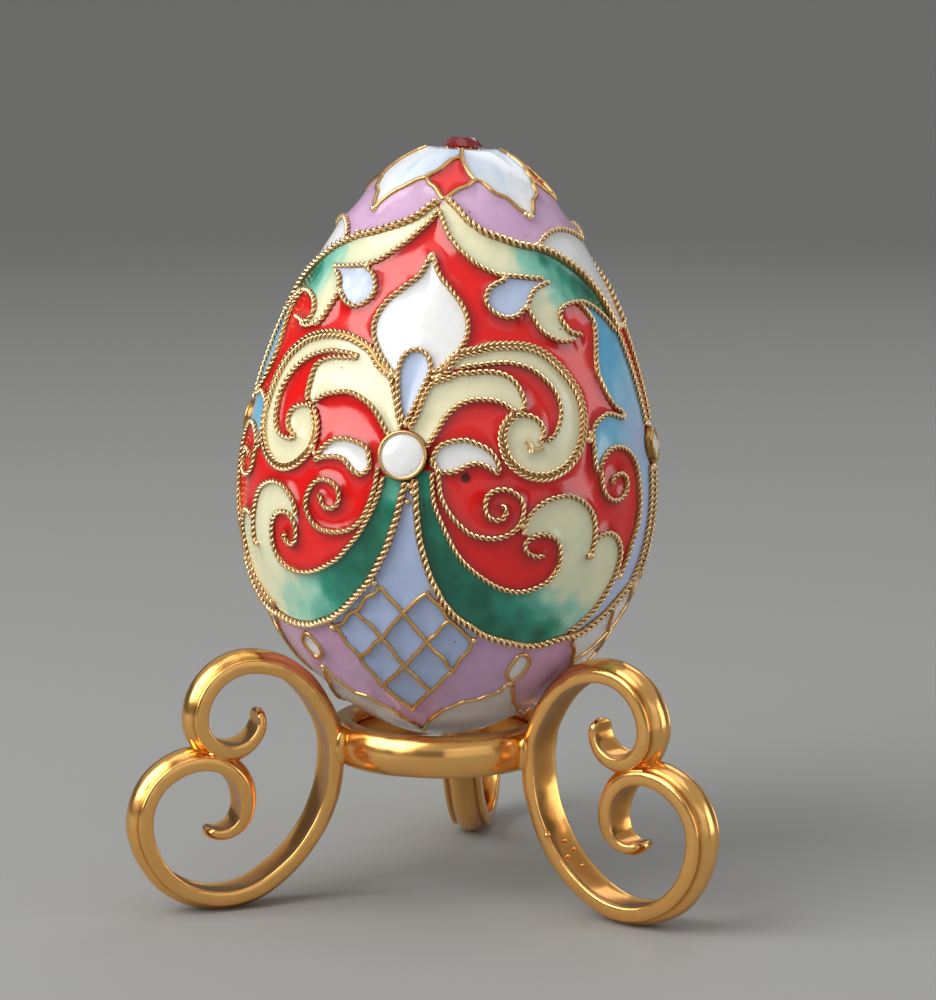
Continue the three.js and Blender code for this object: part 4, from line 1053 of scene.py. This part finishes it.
GRAINS = grain_tree()
joints = [(30.9, -5.2, 0.34), (31.4, -5.9, 0.26), (52.3, 2.8, 0.42), (53, 3.4, 0.3), (53.6, -8.55, 0.36),
    (69, -11.2, 0.36), (69.4, 4.8, 0.34), (36.5, 15.4, 0.3), (29, 18.1, 0.3), (-0.2, 19.9, 0.4),
    (-1, 19.6, 0.3), (0.9, 19.5, 0.3), (6.3, 8.7, 0.36), (5, 8.6, 0.3), (-7.6, 8.6, 0.36), (-6.2, 8.4, 0.3),
    (-41.5, 12.6, 0.44), (-43, 12.5, 0.34), (-35.6, 15.8, 0.3), (-27.6, 18.4, 0.36), (-29.2, 0.9, 0.44),
    (-28.2, 0.4, 0.3), (-38, 1.9, 0.26), (-53.4, -9.9, 0.32), (-69, -11.2, 0.36), (-69.4, 4.8, 0.34),
    (-1.6, 4.05, 0.3), (0.6, -1.6, 0.36), (1.4, -2.3, 0.3), (0.2, -3.2, 0.28), (8, -11.4, 0.36),
    (-8.4, -11.5, 0.32), (-24.6, -16.9, 0.4), (20.8, -16.9, 0.34), (50.3, 23.8, 0.4), (48, 24, 0.28),
    (-40.7, 23.75, 0.36), (48.4, 21.2, 0.32), (-42.8, 21.5, 0.3), (38.9, -22, 0.3), (37.2, -22.4, 0.24),
    (-39.3, -21.9, 0.28), (3.6, 25.2, 0.3), (-3, 24.9, 0.34), (-0.9, 24.1, 0.3), (90, 3.2, 0.4),
    (90, -1, 0.42), (88, 12.9, 0.3), (92, 12.9, 0.3), (79.2, -12.5, 0.36), (-79.2, -12.5, 0.36)]
joints = np.array(joints + [(a + 180, h, size) for a, h, size in joints])
solder = grains("solder_grains", place_egg(on_shell(joints[:, 0], joints[:, 1], 0.16)[0]), joints[:, 2], 7,
    gilt_wire)
print("grains:", len(joints), "with", triangles(solder), "triangles")
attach(solder, "root")
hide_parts("egg_body")

# %% [markdown]
# ## Medallions
#
# Four round buttons of white enamel sit in plain collars, two large and two small. A round shape that is
# the same at every turn is best made by turning a profile, so each is a small lathe shape set square to
# the shell. The profile rises over the collar wire, dips to the joint and goes over the low white dome.

# %% Turned shapes
def turned(profile, segments, close_start=True, close_end=True):
    """Points and faces of a profile of (radius, height) turned about Z. Ends on the axis are closed."""
    profile = np.asarray(profile, float)
    t = np.arange(segments) * 2 * math.pi / segments
    points = np.concatenate([np.stack([r * np.cos(t), r * np.sin(t), np.full(segments, z)], 1)
            for r, z in profile])
    faces = []
    for i in range(len(profile) - 1):
        for k in range(segments):
            m = (k + 1) % segments
            faces.append((i * segments + k, i * segments + m, (i + 1) * segments + m, (i + 1) * segments + k))
    points = np.vstack([points, [(0, 0, profile[0, 1]), (0, 0, profile[-1, 1])]])
    if close_start:
        faces += [(m, k, len(points) - 2) for k, m in zip(range(segments), [*range(1, segments), 0])]
    if close_end:
        base = (len(profile) - 1) * segments
        faces += [(base + k, base + m, len(points) - 1)
            for k, m in zip(range(segments), [*range(1, segments), 0])]
    return points, faces


def set_values(obj, name, values):
    """Write one number for each point of a mesh as a named attribute."""
    attribute = obj.data.attributes.new(name, "FLOAT", "POINT")
    attribute.data.foreach_set("value", np.asarray(values, np.float32))


def button(name, node, radius, azimuth, spot):
    """A medallion: a collar wire and a white dome, set square to the shell at azimuth."""
    wire, dome = 0.19, radius - 0.36
    # The crest is low at the foot of the collar and on the lower sides of its wire, which darkens them partly
    # as tarnish and partly as painted shade.
    profile, crest = [(radius + 0.1, -0.2), (radius + 0.08, 0.12), (radius - 0.02, 0.3)], [0.2, 0.35, 0.4]
    for t in np.radians(np.arange(-10, 171, 20)):
        profile.append((radius - wire + wire * math.cos(t), 0.55 + wire * 1.1 * math.sin(t)))
        crest.append(0.45 + 0.45 * math.sin(t))
    collar = len(profile)
    profile += [(dome - 0.02, 0.5), (dome - 0.1, 0.52)]
    profile += [(dome * (1 - x), 0.56 + 0.24 * math.sin(math.pi / 2 * min(1, x * 1.3)))
        for x in np.linspace(0.08, 0.96, 12)]
    crest += [0.05] * (len(profile) - collar)
    points, faces = turned(profile, 72)
    if spot:
        far = np.hypot(points[:, 0] - spot[0], points[:, 1] - spot[1])
        hole = np.clip(1 - far / 0.14, 0, 1)
    else:
        hole = np.zeros(len(points))
    origin, normal = (v[0] for v in on_shell([azimuth], [1.15]))
    east = np.array([math.cos(math.radians(azimuth)), math.sin(math.radians(azimuth)), 0])
    up = np.cross(normal, east)
    placed = origin + points[:, :1] * east + points[:, 1:2] * up + points[:, 2:] * normal
    obj = make_mesh(name, place_egg(placed), faces, [gilt_plain_wire, ENAMELS["white"]])
    white = [int(min(f) >= (collar - 1) * 72 and not (len(f) == 3 and len(points) - 2 in f)) for f in faces]
    obj.data.polygons.foreach_set("material_index", np.array(white, np.int32))
    set_values(obj, "crest", np.concatenate([np.repeat(crest, 72), [0.2, 0.2]]))
    # Here the attribute edge holds a small dark spot in the front medallion's white, drawn only in the
    # colour, with no depth.
    set_values(obj, "edge", 3 * hole)
    set_values(obj, "shade", np.zeros(len(points)))
    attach(obj, "root")
    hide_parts(node)
    return obj


for name, radius, azimuth, spot in (("front", 2.43, -1.75, (1.05, -1.35)), ("back", 2.43, 178.25, None),
        ("right", 1.75, 90, None), ("left", 1.75, -90, None)):
    made = button(f"medallion_{name}_button", f"medallion_{name}", radius, azimuth, spot)
    low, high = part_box(f"medallion_{name}")
    print(made.name, triangles(made), "triangles; CAD middle at",
        [round(v / MM, 1) for v in (low + high) / 2])

# %% [markdown]
# ## Stone and its setting
#
# A round faceted stone of red glass stands on the top in a low setting with four grains. The stone's CAD
# shape already has its true facets, so it only gets its material. The setting is turned finer: a saucer,
# a short collet that holds the stone's lower edge, and four grains.

# %% Red glass
red_glass, tree = new_material("ruby_red_cut_glass")
place = put(tree, "ShaderNodeTexCoord").outputs["Object"]
# Faint striae, about a millimetre wide, as in old pressed glass.
striae = put(tree, "ShaderNodeTexNoise", values={"Scale": 1000 / 1.2, "Detail": 2.0, "Distortion": 1.2},
    links={"Vector": place})
tint = put(tree, "ShaderNodeValToRGB", links={"Fac": striae.outputs["Fac"]})
tint.color_ramp.elements[0].color, tint.color_ramp.elements[1].color = srgb("8E0418"), srgb("C8102A")
polish = put(tree, "ShaderNodeMapRange", values={"To Min": 0.02, "To Max": 0.06},
    links={"Value": striae.outputs["Fac"]})
cut_glass = put(tree, "ShaderNodeBsdfPrincipled", values={"IOR": 1.62, "Transmission Weight": 0.7},
    links={"Base Color": tint.outputs["Color"], "Roughness": polish.outputs["Result"]})
put(tree, "ShaderNodeOutputMaterial", links={"Surface": cut_glass.outputs["BSDF"]})
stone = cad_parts["top_stone"]
stone.data.materials.clear()
stone.data.materials.append(red_glass)

# %% Setting
z0 = FLAT_HEIGHT + EGG_MIDDLE_Z
saucer = [(0.4, z0 - 0.3), (1.45, z0 - 0.3), (1.58, z0 - 0.26), (1.6, z0 - 0.18), (1.55, z0 - 0.12),
    (1.42, z0 - 0.1), (1.3, z0 - 0.11), (1.14, z0 - 0.06), (1.14, z0 + 0.04), (1.22, z0 + 0.14),
    (1.34, z0 + 0.22), (1.3, z0 + 0.25), (1.0, z0 + 0.2), (0.5, z0 + 0.18)]
points, faces = turned(saucer, 64)
setting = make_mesh("stone_collet", place_egg(points), faces, [gilt_wire])
# The crest is low in the corner where the collet meets the saucer, which darkens it partly as tarnish and
# partly as painted shade.
set_values(setting, "crest", np.concatenate([np.repeat([0.3, 0.4, 0.7, 0.9, 0.95, 0.8, 0.2, 0.1, 0.4, 0.7,
                    1.0, 0.9, 0.4, 0.4], 64), [0.3, 0.4]]))
t = np.radians([0, 90, 180, 270])
beads = grains("setting_grains", place_egg(np.stack([1.52 * np.sin(t), -1.52 * np.cos(t),
                np.full(4, z0 - 0.1)], 1)), [0.27] * 4, 3, gilt_wire)
setting = join("stone_collet", [setting, beads])
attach(setting, "root")
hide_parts("stone_setting")
print("setting", triangles(setting), "triangles")

# %% [markdown]
# ## Ring of the stand
#
# The ring is cast brass, half-round outside, with a bevelled seat inside for the tip of the egg. The outside
# is filed and burnished by hand, so it is a little uneven. Turning a profile and then moving each point
# along its own normal by a slow noise gives that. The legs are soldered on it, with small pools of solder.

# %% Slow unevenness of hand-filed metal
def uneven(points, wavelength, amount):
    """A smooth noise for each point, from -amount to amount, in mm."""
    return np.array([amount * noise.noise(Vector(p) / wavelength) for p in points])


def push(points, faces, shift):
    """Points moved along their normals by shift."""
    points = np.asarray(points, float)
    normals = np.zeros_like(points)
    for face in faces:
        p = points[list(face)]
        n = np.cross(p[1] - p[0], p[2] - p[0])
        normals[list(face)] += n
    normals /= np.linalg.norm(normals, axis=1)[:, None] + 1e-12
    return points + normals * np.asarray(shift)[:, None]


RING_OUTER, RING_INNER, RING_LOW, RING_TALL = 12.0, 8.9, 13.85, 4.2
top = RING_LOW + RING_TALL
band = [(RING_INNER, RING_LOW + 0.45), (RING_INNER + 0.06, RING_LOW + 0.2),
    (RING_INNER + 0.2, RING_LOW + 0.05), (RING_INNER + 0.45, RING_LOW)]
for a in np.radians(np.arange(-80, 81, 8)):
    band.append((RING_OUTER - 1.3 * (1 - math.cos(a)),
            RING_LOW + RING_TALL * (0.5 + 0.5 * math.sin(a) / math.sin(math.radians(80)))))
band += [(RING_INNER + 0.9, top - 0.02), (RING_INNER + 0.74, top - 0.08), (RING_INNER + 0.4, top - 0.45),
    (RING_INNER + 0.1, top - 0.82), (RING_INNER, top - 1.0), (RING_INNER, top - 1.6),
    (RING_INNER, RING_LOW + 1.0)]
segments = 200
ring_points, ring_faces = turned(band, segments, False, False)
ring_points = ring_points[:-2]
last = (len(band) - 1) * segments
ring_faces += [(last + k, last + (k + 1) % segments, (k + 1) % segments, k) for k in range(segments)]
shift = uneven(ring_points, 5.0, 0.09) + uneven(ring_points + 40, 1.6, 0.025)
ring_points = push(ring_points, ring_faces, shift) + (0, AXIS_Y, 0)
ring = make_mesh("cast_ring", ring_points, ring_faces, [gilt_brass])
# Crest: high on the burnished outside, low on the bevels and the inner wall, which darkens them partly as
# tarnish and partly as painted shade where the egg shades the ring.
t = np.repeat([0.3, 0.3, 0.35, 0.5] + [0.8] * 21 + [0.85, 0.85, 0.7, 0.55, 0.35, 0.3, 0.3], segments)
set_values(ring, "crest", t + shift)
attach(ring, "root")
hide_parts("ring")
print("ring", triangles(ring), "triangles")

# %% [markdown]
# ## Scroll legs
#
# Each leg is one cast bar in the form of two scrolls that run together where they meet. Its outside
# carries a rounded bead between two rounded flanges, and its inside is slightly hollow between two rims.
# The centre line is a chain of arcs in an upright plane, so the bar is its section carried along that
# line, narrower towards its tips. Casting and filing leave the edges a little wavy.

# %% Centre line of a leg
FOOT_RADIUS, LEG_WIDTH, LEG_THICKNESS, TIP_LENGTH = 24.05, 4.2, 2.2, 9.0
FOOT_FLAT = 0.12  # how much is filed off under the foot
LEG_AZIMUTHS = {"left": -60, "right": 60, "back": 180}
LOWER_SCROLL = [(8.9, 84), (6.25, 111), (4.75, 95), (2.6, 82), (1.75, 43)]
UPPER_SCROLL = [(8.95, 29.5), (15.0, 64.9), (7.6, 23), (23.3, 7), (8.6, 52.9), (5.7, 89.5), (3.8, 88.4),
    (3.4, 78), (2.15, 52)]


def follow_arcs(arcs, heading, turn):
    """Stations (r, z, heading) about 0.3 mm apart along tangent arcs from the foot."""
    stations, r, z, angle = [], FOOT_RADIUS, LEG_THICKNESS / 2 - FOOT_FLAT, math.radians(heading)
    for radius, degrees in arcs:
        middle_r, middle_z = r - turn * radius * math.sin(angle), z + turn * radius * math.cos(angle)
        steps = max(2, round(radius * math.radians(degrees) / 0.3))
        for i in range(1, steps + 1):
            a = angle + turn * math.radians(degrees) * i / steps
            stations.append((middle_r + turn * radius * math.sin(a), middle_z - turn * radius * math.cos(a),
                    a))
        r, z, angle = stations[-1]
    return stations


inner, outer = follow_arcs(UPPER_SCROLL, 180, -1), follow_arcs(LOWER_SCROLL, 0, 1)
line = np.array([(r, z, a - math.pi)
        for r, z, a in inner[::-1]] + [(FOOT_RADIUS, LEG_THICKNESS / 2 - FOOT_FLAT, 0.0)] + outer)
along = np.concatenate([[0], np.cumsum(np.hypot(*np.diff(line[:, :2], axis=0).T))])
print("bar of a leg:", round(along[-1], 1), "mm long,", len(line), "stations")

# %% Section of the bar, and the legs
# Half-section: share of the half width, share of the thickness, and crest.
# The crest is low on the hollow inner face and in the groove beside the bead, which darkens them, partly as
# tarnish and partly as painted shade.
HALF = [(0.0, -0.41, 0.45), (0.3, -0.41, 0.45), (0.55, -0.425, 0.5), (0.72, -0.45, 0.6), (0.83, -0.485, 0.85),
    (0.9, -0.5, 1.0), (0.955, -0.485, 1.0), (0.985, -0.43, 0.95), (1.0, -0.33, 0.85), (1.0, -0.18, 0.8),
    (0.99, -0.04, 0.9), (0.965, 0.07, 1.0), (0.92, 0.14, 1.0), (0.865, 0.165, 0.95), (0.8, 0.15, 0.7),
    (0.745, 0.115, 0.3), (0.7, 0.11, 0.2), (0.655, 0.15, 0.4), (0.58, 0.25, 0.75), (0.47, 0.36, 0.9),
    (0.33, 0.44, 1.0), (0.17, 0.487, 1.0), (0.0, 0.5, 1.0)]
section = np.array(HALF + [(-u, v, c) for u, v, c in HALF[-2:0:-1]])


def scroll_leg(name, node, azimuth, seed):
    """One leg: the bar swept along its line, turned to its azimuth."""
    left = np.minimum(along, along[-1] - along)
    ease = np.sin(np.clip(left / TIP_LENGTH, 0, 1) * math.pi / 2)
    end = np.sqrt(np.clip(left / 0.7, 0, 1) * (2 - np.clip(left / 0.7, 0, 1)))
    half = 0.5 * LEG_WIDTH * (0.7 + 0.3 * ease) * (0.45 + 0.55 * end)
    thick = LEG_THICKNESS * (0.42 + 0.58 * ease) * (0.35 + 0.65 * end)
    outward = np.stack([np.sin(line[:, 2]), -np.cos(line[:, 2])], 1)
    u, v, crest = section.T
    r = line[:, :1] + outward[:, :1] * v * thick[:, None]
    z = line[:, 1:2] + outward[:, 1:] * v * thick[:, None]
    points = np.stack([r, u * half[:, None], z], 2).reshape(-1, 3)
    n, rows = len(section), len(line)
    faces = []
    for i in range(rows - 1):
        for k in range(n):
            m = (k + 1) % n
            faces.append((i * n + k, i * n + m, (i + 1) * n + m, (i + 1) * n + k))
    points = np.vstack([points, [points[:n].mean(0)], [points[-n:].mean(0)]])
    for k in range(n):
        m = (k + 1) % n
        faces.append((rows * n, m, k))
        faces.append((rows * n + 1, (rows - 1) * n + k, (rows - 1) * n + m))
    rub = uneven(points + seed, 3.2, 0.07) + uneven(points - seed, 1.0, 0.018)
    points = push(points, faces, rub)
    points[:, 2] = np.maximum(points[:, 2], 0.0)
    t = math.radians(azimuth - 90)
    x = points[:, 0] * math.cos(t) - points[:, 1] * math.sin(t)
    y = points[:, 0] * math.sin(t) + points[:, 1] * math.cos(t) + AXIS_Y
    obj = make_mesh(name, np.stack([x, y, points[:, 2]], 1), faces, [gilt_brass])
    set_values(obj, "crest", np.concatenate([np.tile(crest, rows), [0.8, 0.8]]) + rub)
    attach(obj, "root")
    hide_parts(node)
    print(name, triangles(obj), "triangles")


for (side, azimuth), seed in zip(LEG_AZIMUTHS.items(), (11, 23, 37)):
    scroll_leg(f"scroll_leg_{side}", f"leg_{side}", azimuth, seed)

# %% [markdown]
# ## Solder and casting marks of the stand
#
# Solder flows into the corners between the ring and a leg, and metal fills the corners where the two
# scrolls of a leg run together. Both are smooth pools, so each is a stretched grain sunk in the corner.
# The right leg also has a few small round pimples on its inside, left by bubbles in the mould.

# %% Pools and pimples
def on_leg(azimuth, r, y, z):
    """The place in mm of a point given as (radius, across, height) of the leg at azimuth."""
    t = math.radians(azimuth - 90)
    return (r * math.cos(t) - y * math.sin(t), r * math.sin(t) + y * math.cos(t) + AXIS_Y, z)


def pool(azimuth, middle, half_size, tilt=0.0):
    """A stretched grain of metal at (r, across, z) of a leg, leaning by tilt degrees in the leg's plane."""
    angles = np.radians(np.arange(0, 360, 20))
    rows = np.radians(np.arange(-75, 76, 15))
    ball = [(math.cos(b) * math.cos(a), math.cos(b) * math.sin(a), math.sin(b)) for b in rows for a in angles]
    ball = np.array(ball + [(0, 0, -1), (0, 0, 1)]) * half_size
    n, last = len(angles), (len(rows) - 1) * len(angles)
    faces = [(i * n + k, i * n + (k + 1) % n, (i + 1) * n + (k + 1) % n, (i + 1) * n + k)
        for i in range(len(rows) - 1) for k in range(n)]
    faces += [(last + n, (k + 1) % n, k) for k in range(n)] + [(last + n + 1, last + k, last + (k + 1) % n)
        for k in range(n)]
    ball = push(ball, faces, uneven(ball + sum(middle), 1.1, 0.08))
    c, d = math.cos(math.radians(tilt)), math.sin(math.radians(tilt))
    points = [on_leg(azimuth, middle[0] + x * c - z * d, middle[1] + y, middle[2] + z * c + x * d)
        for x, y, z in ball]
    lump = make_mesh("pool", points, faces, [gilt_brass])
    set_values(lump, "crest", np.full(len(points), 0.75))
    return lump


# Places in a leg's own (r, across, z): where its scrolls run together, and where the ring meets its stem.
WAIST, JOINT_RADIUS, JOINT_HEIGHT = (24.65, 0, 15.9), 11.85, 15.9
lumps = []
for azimuth in LEG_AZIMUTHS.values():
    lumps.append(pool(azimuth, WAIST, (2.9, 1.75, 0.75)))
    lumps.append(pool(azimuth, (24.6, 0.3, 15.95), (1.5, 1.6, 1.35), 10))
    for side in (-1, 1):
        lumps.append(pool(azimuth, (JOINT_RADIUS, 1.95 * side, JOINT_HEIGHT), (0.75, 0.5, 1.75), 4 * side))
seams = join("seams", lumps)
stem = line[np.abs(line[:, 0] - 15) < 2.6]
stem = stem[stem[:, 1] < 8]
print("inner face of a stem below the ring runs from", stem[0][:2].round(1), "to", stem[-1][:2].round(1))
pimples, sizes = [], []
for share, y, size in ((0.1, -1.9, 0.42), (0.32, 0.3, 0.24), (0.5, 0.9, 0.2), (0.62, -0.6, 0.22),
        (0.9, 0.5, 0.2)):
    r, z, heading = stem[int(share * (len(stem) - 1))]
    pimples.append(on_leg(LEG_AZIMUTHS["right"], r - 0.45 * LEG_THICKNESS * math.sin(heading), y,
            z + 0.45 * LEG_THICKNESS * math.cos(heading)))
    sizes.append(size)
stand_solder = join("stand_solder", [grains("pimples", pimples, sizes, 5, gilt_brass), seams])
print("solder and casting marks:", triangles(stand_solder), "triangles")
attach(stand_solder, "root")
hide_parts("ring")
